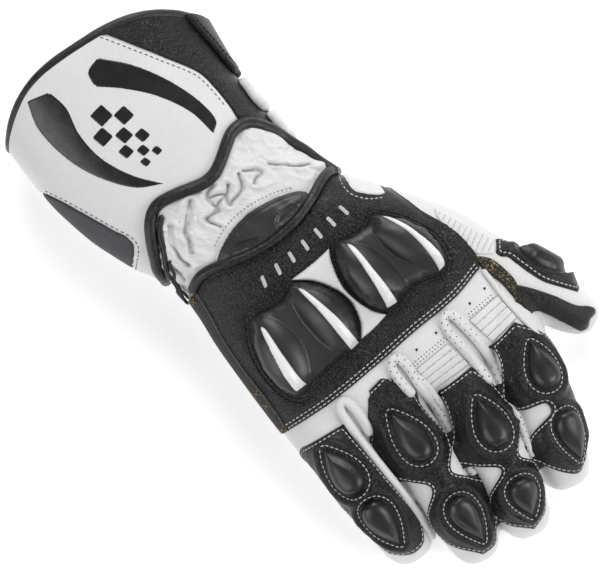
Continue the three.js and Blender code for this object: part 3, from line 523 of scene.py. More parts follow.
bpy.ops.object.modifier_add(type="SOLIDIFY")
gloveSkin.modifiers[0].thickness = leather["wall"] * 0.001
gloveSkin.modifiers[0].offset = -1
bpy.ops.object.modifier_apply(modifier=gloveSkin.modifiers[0].name)
shellNodes = ["gauntlet_shell", "hand_shell", "thumb_sleeve", *["finger_sleeve_" + name for name in fingers]]
dress(gloveSkin, "whiteLeather", shellNodes)
print("skin folded and hollowed")


# Seats points on the skin: a ray towards the limb finds the outermost leather.
def seatOn(member, along, turn, probe, tree=None):
    base = skinPoints(member, along, turn)
    normals = skinNormals(member, along, turn)
    seats = base.copy()
    for i, (point, normal) in enumerate(zip(base, normals)):
        hit = (tree or skinTree).ray_cast(Vector(point + normal * probe), Vector(-normal), 2 * probe + 4)[0]
        if hit is not None:
            seats[i] = hit
    return seats, normals


# Outlines and paths are written as shares: of the cuff's or hand's length and half width, or of a digit's
# length and half of its width. Past one, the share goes on round the side: a tenth is nine degrees.
def placeOf(kind):
    return limbs["body"] if kind in ("cuff", "hand") else limbs[kind]


def spotsToTurn(kind, spots):
    spots = np.asarray(spots, float)
    member = placeOf(kind)
    if kind in ("cuff", "hand"):
        ends = (rimX, wristX) if kind == "cuff" else (wristX, -wristX)
        place, share = mix(ends[0], ends[1], spots[:, 0]), spots[:, 1]
        along = place.copy()
        for _ in range(30):
            along = place - bowAt(along, np.clip(share, -1, 1))
        along = np.maximum(along, rimEdge)
    else:
        along = spots[:, 0] * member["length"]
        half = sectionAt(member, along)[1]
        share = spots[:, 1] * member["width"] / 2 / half
    inner = np.arcsin(np.clip(signedPower(share, member["power"] / 2), -1, 1))
    turn = np.where(np.abs(share) > 1, np.sign(share) * math.pi / 2 * np.abs(share), inner)
    return along, turn


# A smooth curve through points. Corners are the numbers of the points where it breaks.
def curveThrough(points, spacing, closed=True, corners=()):
    points = np.asarray(points, float)
    count = len(points)
    dense = []
    for i in range(count if closed else count - 1):
        p1, p2 = points[i], points[(i + 1) % count]
        first = (not closed and i == 0) or i in corners
        last = (not closed and i == count - 2) or (i + 1) % count in corners
        p0 = 2 * p1 - p2 if first else points[i - 1]
        p3 = 2 * p2 - p1 if last else points[(i + 2) % count]
        knots = [0.0]
        for a, b in ((p0, p1), (p1, p2), (p2, p3)):
            knots.append(knots[-1] + max(math.dist(a, b), 1e-6) ** 0.5)
        steps = max(2, math.ceil(math.dist(p1, p2) / spacing))
        t = np.linspace(knots[1], knots[2], steps, endpoint=False)[:, None]

        def between(low, high, k0, k1):
            return low * (k1 - t) / (k1 - k0) + high * (t - k0) / (k1 - k0)

        a1 = between(p0, p1, knots[0], knots[1])
        a2 = between(p1, p2, knots[1], knots[2])
        a3 = between(p2, p3, knots[2], knots[3])
        b1 = between(a1, a2, knots[0], knots[2])
        b2 = between(a2, a3, knots[1], knots[3])
        dense.extend(between(b1, b2, knots[1], knots[2]))
    if not closed:
        dense.append(points[-1])
    return np.array(dense)


# A flat map of a limb's skin: millimetres along it, and round it at a reference section.
class SkinMap:
    def __init__(self, kind, reference):
        self.kind = kind
        self.member = placeOf(kind)
        self.turns = np.radians(np.linspace(-200, 200, 801))  # past half a turn on both sides of the top
        _, half, _, above = sectionAt(self.member, np.array([reference]))
        power = 2 / self.member["power"]
        round_ = np.stack([half * signedPower(np.sin(self.turns), power),
                           above * signedPower(np.cos(self.turns), power)], axis=1)
        steps = np.linalg.norm(np.diff(round_, axis=0), axis=1)
        self.girth = np.concatenate([[0], np.cumsum(steps)])
        self.girth -= self.girth[len(steps) // 2]

    def flatten(self, spots):
        along, turn = spotsToTurn(self.kind, spots)
        return np.stack([along, np.interp(turn, self.turns, self.girth)], axis=1)

    def turnOf(self, flat):
        return np.interp(flat[:, 1], self.girth, self.turns)

    def seat(self, flat, probe, tree=None):
        return seatOn(self.member, flat[:, 0], self.turnOf(flat), probe, tree)


def insidePolygon(points, polygon):
    x, y = points[:, 0][:, None], points[:, 1][:, None]
    ax, ay = polygon[:, 0], polygon[:, 1]
    bx, by = np.roll(ax, -1), np.roll(ay, -1)
    crossing = (ay > y) != (by > y)
    slope = (bx - ax) / np.where(by == ay, 1e-9, by - ay)
    return (np.sum(crossing & (x < ax + slope * (y - ay)), axis=1) % 2) == 1


def edgeDistance(points, polygon, closed=True):
    starts = polygon if closed else polygon[:-1]
    ends = np.roll(polygon, -1, axis=0) if closed else polygon[1:]
    best = np.full(len(points), np.inf)
    for a, b in zip(starts, ends):
        along = b - a
        t = np.clip((points - a) @ along / max(along @ along, 1e-9), 0, 1)
        best = np.minimum(best, np.linalg.norm(points - a - t[:, None] * along, axis=1))
    return best


# Twice the outline's area, and below zero where it runs clockwise.
def turning(outline):
    following = np.roll(outline, -1, axis=0)
    return np.sum(outline[:, 0] * following[:, 1] - following[:, 0] * outline[:, 1])


# The outline moved inwards, without the loops that this leaves in corners.
def insetLine(outline, distance):
    before, after = np.roll(outline, 1, axis=0), np.roll(outline, -1, axis=0)
    tangent = after - before
    tangent /= np.maximum(np.linalg.norm(tangent, axis=1), 1e-9)[:, None]
    inward = np.stack([-tangent[:, 1], tangent[:, 0]], axis=1) * np.sign(turning(outline))
    moved = outline + inward * distance
    return moved[edgeDistance(moved, outline) > abs(distance) * 0.93]


# Fills an outline on a skin map with triangles: rows along its edge, then an even grid.
def fillOutline(outline, spacing, rows):
    if turning(outline) < 0:
        outline = outline[::-1]
    inner = [insetLine(outline, row) for row in rows]
    low, high = outline.min(axis=0), outline.max(axis=0)
    xs = np.arange(low[0], high[0], spacing)
    ys = np.arange(low[1], high[1], spacing * 0.866)
    grid = np.array([(x + (spacing / 2 if j % 2 else 0), y) for j, y in enumerate(ys) for x in xs])
    grid = grid[insidePolygon(grid, outline)]
    grid = grid[edgeDistance(grid, outline) > rows[-1] + spacing * 0.4]
    inner = [line[insidePolygon(line, outline)] for line in inner]
    every = np.concatenate([outline, *inner, grid])
    flat, _, faces, _, _, _ = geometry.delaunay_2d_cdt(
        [Vector(point) for point in every], [], [list(range(len(outline)))], 1, 1e-5
    )
    return np.array([tuple(point) for point in flat]), [tuple(face) for face in faces]


threads = {"white": [], "grey": [], "black": [], "yellow": [], "hole": []}
probes = {"skin": 9.0, "panel": 16.0}  # where the rays start, in millimetres over the limb


# Stitches along a line on a skin map, at a lift over the skin or over a panel's top.
def stitch(skinMap, line, lift, thread="white", step=2.35, length=1.55, radius=0.3, closed=True, onto=None):
    if closed:
        line = np.concatenate([line, line[:1]])
    seats, normals = skinMap.seat(line, probes["panel" if onto else "skin"], onto)
    points = seats + normals * lift
    reach = np.concatenate([[0], np.cumsum(np.linalg.norm(np.diff(points, axis=0), axis=1))])
    for place in np.arange(step / 2, reach[-1], step):
        ends = [np.array([np.interp(p, reach, points[:, k]) for k in range(3)])
                for p in (place - length / 2, place + length / 2)]
        normal = np.array([np.interp(place, reach, normals[:, k]) for k in range(3)])
        if np.linalg.norm(ends[1] - ends[0]) > 0.4 * length:
            threads[thread].append((ends[0], ends[1], normal, radius))


# How far a share of one reaches in millimetres, along and across.
def stretchOf(kind):
    return np.array([hand["length"], 55.0] if kind in ("cuff", "hand") else [limbs[kind]["length"], 14.0])


def smoothSpots(kind, spots, spacing=0.9, closed=False, corners=()):
    return curveThrough(np.asarray(spots, float) * stretchOf(kind), spacing, closed, corners) / stretchOf(kind)


def stitchAlong(skinMap, spots, lift, thread="white", **more):
    line = skinMap.flatten(smoothSpots(skinMap.kind, spots))
    stitch(skinMap, line, lift, thread, closed=False, **more)


# The underside's faces share the rim's points, and the rest of its points follow those of the top.
def closedBelow(faces, rim):
    order = np.where(rim, np.arange(len(rim)), len(rim) - 1 + np.cumsum(~rim))
    return [*faces, *[tuple(int(order[i]) for i in reversed(face)) for face in faces]]


def edgesOf(faces):
    return np.array([(a, b) for face in faces for a, b in zip(face, face[1:] + face[:1])])


# A leather panel or moulded piece on the skin, with a rounded edge and a closed underside. Its outline is
# in shares of a limb, or given on a skin map.
def panel(name, look, relief=None, outline=None):
    if outline is None:
        kind, spots = look["kind"], np.asarray(look["outline"], float)
        skinMap = SkinMap(kind, look.get("reference", float(np.mean(spotsToTurn(kind, spots)[0]))))
        outline = skinMap.flatten(smoothSpots(kind, spots, 0.9, True, look.get("corners", ())))
    else:
        skinMap = look["map"]
    outline = outline[np.linalg.norm(outline - np.roll(outline, 1, axis=0), axis=1) > 0.05]
    edge, lift, onto = look.get("edge", 1.0), look.get("lift", 0.0), look.get("onto")
    rows = look.get("rows", (0.25 * edge, 0.6 * edge, edge, edge + 0.8, edge + 1.6))
    flat, faces = fillOutline(outline, look.get("spacing", 1.1), rows)
    depth = edgeDistance(flat, outline)
    rim = depth < 0.01
    seats, normals = skinMap.seat(flat, probes["panel"] if onto else look.get("probe", probes["skin"]), onto)
    seats = relax(seats, edgesOf(faces), look.get("relax", 5), rim)
    rise = np.sqrt(np.clip(1 - (1 - np.clip(depth / edge, 0, 1)) ** 2, 0, 1))
    height = lift + (look["thickness"] + 0.4) * rise - 0.4
    for inset in look.get("grooves", ()):
        height -= look.get("grooveDepth", 0.3) * np.exp(-(((depth - inset) / 0.55) ** 2))
    if relief is not None:
        height += relief(flat, depth)
    top = seats + normals * height[:, None]
    top[:, 2] = np.maximum(top[:, 2], skin["floor"])
    under = seats + normals * (lift - 0.9)
    under[:, 2] = np.maximum(under[:, 2], 0.02)
    made = meshObject(name, np.concatenate([top, under[~rim]]), closedBelow(faces, rim))
    dress(made, look["finish"], look.get("nodes", ()))
    # This layer carries the painted shade of the creases into the leather's colour.
    if "creaseShadeMask" in look:
        layer = made.data.attributes.new("creaseShadeMask", "FLOAT", "POINT")
        shade = np.concatenate([look["creaseShadeMask"](flat, depth), np.zeros(np.count_nonzero(~rim))])
        layer.data.foreach_set("value", shade.astype(np.float32))
    tree = BVHTree.FromPolygons([tuple(point) for point in top], faces)
    for inset in look.get("stitches", ()):
        stitch(skinMap, insetLine(outline, inset), 0.04, onto=tree)
    return {"map": skinMap, "outline": outline, "tree": tree}


def tube(name, centres, normals, radius, closed=False, sides=14):
    tangent = np.roll(centres, -1, axis=0) - np.roll(centres, 1, axis=0)
    if not closed:
        tangent[0], tangent[-1] = centres[1] - centres[0], centres[-1] - centres[-2]
    tangent /= np.linalg.norm(tangent, axis=1)[:, None]
    side = np.cross(tangent, normals)
    side /= np.linalg.norm(side, axis=1)[:, None]
    up = np.cross(side, tangent)
    angles = np.linspace(0, 2 * math.pi, sides, endpoint=False)
    rings = centres[:, None, :] + radius[:, None, None] * (
        np.cos(angles)[None, :, None] * side[:, None, :] + np.sin(angles)[None, :, None] * up[:, None, :]
    )
    points = rings.reshape(-1, 3)
    points[:, 2] = np.maximum(points[:, 2], skin["floor"])
    count = len(centres)
    faces = []
    for r in range(count if closed else count - 1):
        for i in range(sides):
            a, b = r * sides + i, r * sides + (i + 1) % sides
            c, d = ((r + 1) % count) * sides + (i + 1) % sides, ((r + 1) % count) * sides + i
            faces.append((a, d, c, b))
    if not closed:
        faces.append(tuple(range(sides)))
        faces.append(tuple((count - 1) * sides + i for i in reversed(range(sides))))
    return meshObject(name, points, faces)


# A round roll with round ends, relaxed along its seats. rollLook has the settings for a path on the skin.
rollLook = {"relax": 6, "uneven": 0.05, "lump": 7.0, "seed": 5.0, "lift": 0.55}


def rollOn(name, seats, normals, look):
    look = {**rollLook, **look}
    links = np.array([(i, i + 1) for i in range(len(seats) - 1)])
    seats = relax(seats, links, look["relax"], np.isin(np.arange(len(seats)), (0, len(seats) - 1)))
    reach = np.concatenate([[0], np.cumsum(np.linalg.norm(np.diff(seats, axis=0), axis=1))])
    ends = np.minimum(reach, reach[-1] - reach)
    radius = look["radius"] * np.sqrt(np.clip(1 - (1 - np.clip(ends / look["radius"], 0.02, 1)) ** 2, 0.01, 1))
    radius *= 1 + look["uneven"] * noiseAt(seats, look["lump"], look["seed"])
    centres = seats + normals * (look["lift"] * look["radius"])
    dress(tube(name, centres, normals, radius), look["finish"], look.get("nodes", ()))
    return centres, reach


def roll(name, look):
    along, turn = spotsToTurn(look["kind"], smoothSpots(look["kind"], look["path"], 1.0))
    rollOn(name, *seatOn(placeOf(look["kind"]), along, turn, probes["skin"]), look)


def slantedAxes(degrees):
    angle = math.radians(degrees)
    return np.array([math.cos(angle), math.sin(angle)]), np.array([-math.sin(angle), math.cos(angle)])


# Binding round the rim.
binding = {"radius": 2.2, "steps": 300}
turn = np.linspace(0, 2 * math.pi, binding["steps"], endpoint=False)
along = np.full(binding["steps"], rimX + binding["radius"])
centres = skinPoints(limbs["body"], along, turn, leather["panel"] + leather["gap"] - binding["radius"])
centres[:, 2] = np.maximum(centres[:, 2], binding["radius"])
normals = skinNormals(limbs["body"], along, turn)
radius = binding["radius"] * (1 + 0.05 * noiseAt(centres, 6.0, 2.0))
dress(tube("cuff_binding_roll", centres, normals, radius, True), "blackBinding", ["cuff_binding"])

# Cuff panels. The white one wraps round the grey one's end and runs down beside the welt.
seamLine = [(0.03, 0.22), (0.139, 0.39), (0.237, 0.545), (0.366, 0.735), (0.445, 0.77), (0.52, 0.775), (0.6, 0.755)]
greyLine = [(0.419, -0.99), (0.487, -0.927), (0.569, -0.875), (0.649, -0.828), (0.719, -0.789), (0.749, -0.773),
            (0.78, -0.787), (0.807, -0.832), (0.861, -1.02)]
weltLine = [(0.892, 0.98), (0.82, 0.98), (0.752, 0.965), (0.693, 0.915), (0.652, 0.852), (0.629, 0.789),
            (0.624, 0.704), (0.636, 0.611), (0.663, 0.519), (0.698, 0.402), (0.726, 0.293), (0.74, 0.189),
            (0.74, 0.072), (0.726, -0.069), (0.715, -0.216), (0.713, -0.319), (0.726, -0.412), (0.756, -0.505),
            (0.803, -0.612), (0.859, -0.74), (0.911, -0.856), (0.961, -0.955)]
cuffBack = panel("cuff_back", {
    "kind": "cuff", "finish": "whiteLeather", "nodes": ["cuff_back_panel"],
    "outline": [(-0.4, 0.2), *seamLine, *weltLine[6:], (0.985, -1.12), (0.885, -1.12), (0.87, -1.03),
                *[(at - 0.002, across + 0.014) for at, across in greyLine[::-1]], (0.4, -1.1), (-0.4, -1.1)],
    "corners": (0, 1, 7, 8, 23, 24, 25, 35, 36, 37), "thickness": leather["panel"], "edge": 0.9, "reference": -110.0,
})
panel("cuff_side", {
    "kind": "cuff", "finish": "blackLeather", "nodes": ["cuff_side_panel"],
    "outline": [(-0.4, 0.21), *[(at, across + 0.012) for at, across in seamLine], *weltLine[5:1:-1], (0.8, 1.0),
                (0.82, 1.12), (-0.4, 1.12)],
    "corners": (0, 1, 7, 8, 13, 14), "thickness": leather["panel"] - 0.3, "edge": 0.9, "reference": -110.0,
})
panel("cuff_slots", {
    "kind": "cuff", "finish": "greyLeather", "nodes": ["cuff_slot_panel"],
    "outline": [(0.4, -1.13), *greyLine, (0.87, -1.13)],
    "corners": (0, 1, 9, 10), "thickness": leather["panel"] - 0.1, "edge": 0.8, "reference": -90.0,
})
closureLook = {"kind": "cuff", "lift": guardSeat, "edge": 1.2}
panel("cuff_strap", {
    **closureLook, "finish": "blackLeather", "nodes": ["cuff_closure_strap"], "thickness": 2.0,
    "outline": [(0.135, 0.885), (0.196, 0.9), (0.26, 0.925), (0.325, 0.95), (0.38, 0.965), (0.44, 1.0),
                (0.455, 1.13), (0.17, 1.13)],
    "corners": (0, 6, 7), "grooves": (1.8,),
})
panel("cuff_lobe_front", {
    **closureLook, "finish": "whiteLeather", "nodes": ["cuff_gusset_front"],
    "thickness": 3.0, "edge": 2.4, "outline": [(0.465, 0.985), (0.52, 0.97), (0.575, 0.965), (0.622, 0.99),
                                               (0.622, 1.12), (0.465, 1.12)],
})
panel("cuff_lobe_rear", {
    **closureLook, "finish": "whiteLeather", "nodes": ["cuff_gusset_rear"],
    "thickness": 3.0, "edge": 2.4, "outline": [(0.635, 0.99), (0.68, 0.98), (0.73, 0.985), (0.775, 1.0),
                                               (0.785, 1.12), (0.635, 1.12)],
})
roll("cuff_welt_roll", {
    "kind": "cuff", "finish": "blackBinding", "nodes": ["cuff_welt"], "radius": 2.8,
    "path": [(1.0, 0.975), (0.95, 0.98), *weltLine, (0.985, -1.0)],
})
roll("cuff_welt_lip", {
    "kind": "cuff", "finish": "blackBinding", "radius": 1.4, "lift": 1.4,
    "path": [(0.758, -0.38), (0.791, -0.481), (0.845, -0.607),
             (0.897, -0.719), (0.945, -0.84), (0.985, -0.95)],
})
cuffMap = cuffBack["map"]
cuffStitch = {"lift": 0.03, "thread": "grey", "step": 2.6, "onto": cuffBack["tree"]}
stitchAlong(cuffMap, [(at + 0.004, across - 0.03) for at, across in seamLine[:-1]], **cuffStitch)
stitchAlong(cuffMap, [(0.414, -0.955), (0.482, -0.893), (0.566, -0.838), (0.649, -0.79), (0.72, -0.75),
                      (0.762, -0.735), (0.8, -0.76), (0.83, -0.83), (0.876, -1.01)], **cuffStitch)
stitchAlong(cuffMap, [(0.173, 0.915), (0.247, 0.943), (0.311, 0.965), (0.375, 0.985), (0.417, 1.01)],
            guardSeat + 1.98, "black", radius=0.4)

# Slots of the grey panel, in two slanted columns, drawn as dark patches of painted shade.
slotLook = {
    "long": 2.0, "wide": 0.6, "lean": 57, "rows": 4,
    "columns": (((0.772, -0.95), (0.794, -1.03)), ((0.799, -0.915), (0.82, -0.99))),
}
slotMap = SkinMap("cuff", -90.0)
slotTurn, slotSide = slantedAxes(slotLook["lean"])
for column, (first, last) in enumerate(slotLook["columns"]):
    for row in range(slotLook["rows"]):
        share = row / (slotLook["rows"] - 1)
        middle = slotMap.flatten([mix(np.array(first), np.array(last), share)])[0]
        corners = [middle + a * slotLook["long"] / 2 * slotTurn + b * slotLook["wide"] / 2 * slotSide
                   for a, b in ((-1, -1), (1, -1), (1, 1), (-1, 1))]
        panel("cuff_slot_%d_%d" % (column + 1, row + 1), {
            "map": slotMap, "finish": "paintedHoleShade",
            "lift": leather["panel"] - 0.1, "thickness": 0.06, "edge": 0.1, "rows": (0.1,), "spacing": 0.5,
            "relax": 0,
        }, outline=np.array(corners))

# The print on the cuff: two curved glossy bands and a slanted chequered field.
film = {"kind": "cuff", "finish": "printBlack", "onto": cuffBack["tree"], "lift": 0.0,
        "thickness": 0.16, "edge": 0.12, "rows": (0.12, 0.8), "spacing": 1.2, "reference": -110.0, "relax": 1}
panel("print_band_upper", {
    **film, "outline": [(0.1, 0.08), (0.2, 0.3), (0.34, 0.5), (0.47, 0.6), (0.56, 0.6), (0.6, 0.5), (0.48, 0.47),
                        (0.36, 0.33), (0.26, 0.12), (0.19, -0.08), (0.13, -0.06)],
    "corners": (0, 5, 9),
})
panel("print_band_lower", {
    **film, "outline": [(0.09, -0.62), (0.2, -0.68), (0.36, -0.64), (0.5, -0.53), (0.61, -0.36), (0.66, -0.14),
                        (0.56, -0.3), (0.44, -0.4), (0.31, -0.42), (0.2, -0.38), (0.11, -0.42)],
    "corners": (0, 5, 10),
})
chequers = {
    "size": 8.0, "rows": 3, "columns": 7, "from": (0.2, -0.22), "lean": 12, "shrink": 0.09, "closer": 0.04,
}
fieldStart = cuffMap.flatten([chequers["from"]])[0]
fieldRight, fieldUp = slantedAxes(chequers["lean"])
for row in range(chequers["rows"]):
    for column in range(1, chequers["columns"]):
        if (row + column) % 2:
            continue
        size = chequers["size"] * (1 - chequers["shrink"] * column)
        reach = chequers["size"] * column * (1 - chequers["closer"] * column)
        corner = fieldStart + reach * fieldRight + size * (row - 1.5) * fieldUp
        square = [corner, corner + size * fieldRight, corner + size * (fieldRight + fieldUp), corner + size * fieldUp]
        panel("print_square_%d_%d" % (row + 1, column + 1), {**film, "map": cuffMap},
              outline=curveThrough(np.array(square), 0.9, True, (0, 1, 2, 3)))
print("cuff dressed")

# Wrist: crumpled leather between the welt and the back panel's rolled edge, and the guard under the roll.
rollPath = [(0.085, -0.9), (0.066, -0.84), (0.048, -0.752), (0.045, -0.65), (0.051, -0.555), (0.078, -0.33),
            (0.09, -0.1), (0.082, 0.113), (0.063, 0.342), (0.028, 0.584), (-0.009, 0.793), (-0.031, 0.944),
            (-0.012, 1.04)]
guardRim = [(0.038, -0.56), (-0.002, -0.403), (-0.041, -0.174), (-0.066, 0.082), (-0.067, 0.258), (-0.056, 0.457),
            (-0.034, 0.6), (-0.01, 0.655)]
crumple = {
    "folds": [
        [(-0.25, 0.168), (-0.214, 0.027), (-0.148, -0.009), (-0.129, -0.169), (-0.083, -0.163)],
        [(-0.129, -0.169), (-0.161, 0.026), (-0.18, 0.15), (-0.214, 0.264)],
        [(-0.137, 0.1), (-0.17, 0.31), (-0.226, 0.399)],
        [(-0.214, 0.027), (-0.19, 0.15), (-0.137, 0.1)],
        [(-0.23, 0.45), (-0.19, 0.56), (-0.15, 0.42)],
        [(-0.2, 0.68), (-0.14, 0.78), (-0.1, 0.9)],
        [(-0.24, -0.1), (-0.19, -0.25), (-0.13, -0.42), (-0.06, -0.55)],
        [(-0.2, -0.42), (-0.12, -0.6), (-0.02, -0.72)],
        [(-0.14, -0.7), (-0.05, -0.82), (0.02, -0.86)],
    ],
    "depth": 1.8, "wide": 0.8, "shoulder": 0.9, "shake": 2.5,
    "lump": 1.8, "lumpSize": 13.0, "ridge": 1.1, "ridgeSize": 6.5, "fine": 0.3, "fineSize": 2.1,
}
wristRear = [((at - 1) * cuff["length"] / hand["length"], across) for at, across in weltLine]
wristMap = SkinMap("hand", -60.0)
foldLines = [wristMap.flatten(smoothSpots("hand", line)) for line in crumple["folds"]]
rimLine = wristMap.flatten(smoothSpots("hand", guardRim))
plateOutline = [*guardRim, (0.02, 0.6), (0.06, 0.33), (0.085, 0.1), (0.09, -0.1), (0.078, -0.33), (0.06, -0.54)]
plateLine = wristMap.flatten(smoothSpots("hand", plateOutline, 0.9, True))


# Distances from the folds, with the places slightly shaken so that no fold runs straight.
def nearestFold(flat):
    spread = np.column_stack([flat, np.zeros(len(flat))])
    shaken = spread + crumple["shake"] * np.column_stack([noiseAt(spread, 6.0, k) for k in (1.7, 5.2, 9.1)])
    near = np.full(len(flat), 99.0)
    for line in foldLines:
        near = np.minimum(near, edgeDistance(flat + (shaken - spread)[:, :2] * 0.5, line, False))
    return near, shaken


# The leather lies calm along its edge and beside the guard, and flat under it.
def calmAt(flat, depth):
    calm = np.clip(edgeDistance(flat, rimLine, False) / 7, 0.1, 1) * np.clip(depth / 4, 0, 1)
    return np.where(insidePolygon(flat, plateLine), 0, calm)


def crumpled(flat, depth):
    near, shaken = nearestFold(flat)
    height = crumple["lump"] * noiseAt(shaken * [1, 0.8, 1], crumple["lumpSize"], 3.1)
    height += crumple["ridge"] * (0.4 - 1.6 * np.abs(noiseAt(shaken * [0.8, 1.2, 1], crumple["ridgeSize"], 8.4)))
    height += crumple["fine"] * (0.5 - 2 * np.abs(noiseAt(shaken, crumple["fineSize"], 4.4)))
    height -= crumple["depth"] * np.exp(-((near / crumple["wide"]) ** 2))
    height += crumple["shoulder"] * np.exp(-(((near - 2.0) / 1.3) ** 2))
    return 0.2 + (height + 0.8) * calmAt(flat, depth)


# How much painted shade darkens the creases: along the folds, and as fine veins in places.
def paintedCreaseShade(flat, depth):
    near, shaken = nearestFold(flat)
    veins = 0.22 * np.exp(-((noiseAt(shaken, 4.2, 4.4) / 0.035) ** 2))
    veins = veins * np.clip(noiseAt(shaken, 14.0, 7.7) * 3, 0, 1)
    return np.clip(0.6 * np.exp(-((near / 0.55) ** 2)) + veins, 0, 1) * calmAt(flat, depth)


# The crumpled wrist leather carries painted shade in its creases.
panel("wrist_leather", {
    "kind": "hand", "finish": "whiteLeather", "thickness": 0.8, "edge": 0.8,
    "outline": [(0.02, -1.02), *rollPath[1:], (-0.06, 1.05), *wristRear, (-0.02, -1.02)], "corners": (0,),
    "reference": -60.0, "spacing": 0.55, "rows": (0.3, 0.8), "creaseShadeMask": paintedCreaseShade,
}, crumpled)
stitchAlong(wristMap, [(at - 0.022, across) for at, across in guardRim[1:-1]], 1.75, "grey", step=1.9, length=0.7,
            radius=0.26)
leafSpots = [
    [(0.044, -0.4), (0.018, -0.225), (0.05, -0.02), (0.06, -0.187)],
    [(0.052, 0.1), (0.006, 0.27), (0.004, 0.53), (0.04, 0.34)],
]
leaves = [wristMap.flatten(smoothSpots("hand", leaf, 0.7, True, (0, 2))) for leaf in leafSpots]


def leafHollows(flat, depth):
    height = 0.5 * np.clip(depth / 8, 0, 1)
    for leaf in leaves:
        inside = insidePolygon(flat, leaf)
        away = edgeDistance(flat, leaf)
        height += np.where(inside, -1.1 * np.clip(away / 0.7, 0, 1), 0.35 * np.exp(-((away / 0.8) ** 2)))
    return height


panel("wrist_plate", {
    "kind": "hand", "finish": "mouldedBlack", "nodes": ["wrist_guard"], "thickness": 3.0,
    "outline": plateOutline, "corners": (0, 7), "edge": 1.4, "reference": -60.0, "grooves": (2.2,),
    "grooveDepth": 0.35, "spacing": 0.7,
}, leafHollows)
roll("back_roll", {
    "kind": "hand", "finish": "blackBinding", "nodes": ["back_panel_roll"], "radius": 2.3,
    "path": rollPath, "lift": 1.0,
})
cordPath = [(-0.1, -0.74), (-0.079, -0.788), (-0.045, -0.86), (-0.012, -0.919), (0.02, -0.95), (0.055, -0.975),
            (0.098, -0.985)]
for number, aside in enumerate((0.0, 0.02), 1):
    roll("wrist_cord_%d" % number, {
        "kind": "hand", "finish": "darkFabric", "nodes": ["wrist_strap"], "radius": 0.75, "lift": 3.4,
        "path": [(at + aside, across + aside * 0.4 * (-1) ** i) for i, (at, across) in enumerate(cordPath)],
    })
roll("wrist_cord_curl", {
    "kind": "hand", "finish": "darkFabric", "radius": 0.7, "lift": 3.0,
    "path": [(0.098, -0.985), (0.085, -1.02), (0.055, -1.03), (0.035, -1.0), (0.05, -0.96), (0.075, -0.95),
             (0.1, -0.955)],
})

# Back panel with its stitching, the side strip and the oval patch.
seamSide = [(0.804, -0.944), (0.651, -0.929), (0.476, -0.931), (0.3, -0.92), (0.088, -0.88)]
frontEdge = [(0.665, 0.869), (0.712, 0.6), (0.74, 0.2), (0.775, -0.2), (0.8, -0.6), seamSide[0]]
backRear = [(at + 0.012, across) for at, across in rollPath[2:-1]]
guardMap = SkinMap("hand", 0.0)
guards = {
    "ulnar": {
        "numbers": (1, 2), "node": "knuckle_guard_ulnar",
        "outline": [(0.311, -0.63), (0.358, -0.7), (0.419, -0.76), (0.51, -0.8), (0.577, -0.805), (0.642, -0.79),
                    (0.693, -0.75), (0.708, -0.7), (0.69, -0.62), (0.675, -0.53), (0.66, -0.41), (0.653, -0.31),
                    (0.656, -0.23), (0.64, -0.15), (0.586, -0.09), (0.52, -0.05), (0.452, -0.03), (0.383, -0.04),
                    (0.337, -0.08), (0.292, -0.16), (0.276, -0.23), (0.307, -0.3), (0.324, -0.37), (0.325, -0.46),
                    (0.315, -0.56)],
    },
    "radial": {
        "numbers": (3, 4), "node": "knuckle_guard_radial",
        "outline": [(0.235, 0.29), (0.297, 0.18), (0.363, 0.11), (0.435, 0.07), (0.494, 0.06), (0.551, 0.08),
                    (0.595, 0.14), (0.599, 0.23), (0.58, 0.31), (0.566, 0.4), (0.57, 0.49), (0.583, 0.59),
                    (0.591, 0.64), (0.558, 0.71), (0.513, 0.75), (0.464, 0.78), (0.403, 0.8), (0.352, 0.79),
                    (0.306, 0.78), (0.274, 0.75), (0.234, 0.71), (0.225, 0.66), (0.249, 0.58), (0.254, 0.5),
                    (0.251, 0.39)],
    },
}
for guard in guards.values():
    guard["flat"] = guardMap.flatten(smoothSpots("hand", guard["outline"], 0.9, True))
ringStitch = {"gap": 1.5, "between": 1.9, "pucker": 0.25}


# The back leather swells between its seams and puckers at the double stitching round the guards.
def backRelief(flat, depth):
    away = np.minimum(*(edgeDistance(flat, guard["flat"]) for guard in guards.values()))
    spread = np.column_stack([flat, np.zeros(len(flat))])
    height = 0.7 * np.clip(away / 9, 0, 1) ** 0.7 * np.clip(depth / 5, 0, 1) + 0.25 * noiseAt(spread, 12.0, 2.0)
    band = np.exp(-(((away - ringStitch["gap"] - ringStitch["between"] / 2) / 1.7) ** 2))
    return height - band * (0.35 + ringStitch["pucker"] * noiseAt(spread, 1.9, 6.0))


backPanel = panel("back_leather", {
    "kind": "hand", "finish": "blackLeather", "nodes": ["back_panel"], "thickness": 1.3,
    "outline": [*seamSide[::-1][:1], *backRear, (0.001, 1.06), (0.1, 1.02), (0.181, 1.0), (0.25, 0.975),
                (0.33, 0.945), (0.44, 0.93), (0.547, 0.91), (0.615, 0.895), *frontEdge[:-1], *seamSide[:-1]],
    "corners": (0, len(backRear) + 1, len(backRear) + 9, len(backRear) + 14), "reference": 0.0, "spacing": 0.8,
    "grooves": (2.2,), "grooveDepth": 0.25,
}, backRelief)
for back in (1.3, 3.0):
    stitchAlong(backPanel["map"], [(at - back / hand["length"], across * 0.985) for at, across in frontEdge], 0.04,
                onto=backPanel["tree"])
stitchAlong(backPanel["map"], [(at + 0.03, across) for at, across in rollPath[2:-1]], 0.05, "black", radius=0.42,
            onto=backPanel["tree"])
panel("side_fabric", {
    "kind": "hand", "finish": "darkFabric", "nodes": ["side_strip"], "thickness": 1.1,
    "outline": [(at, across - 0.005) for at, across in seamSide[::-1]] + [(0.81, -1.15), (0.11, -1.12)],
    "corners": (0, 4, 5, 6),
})
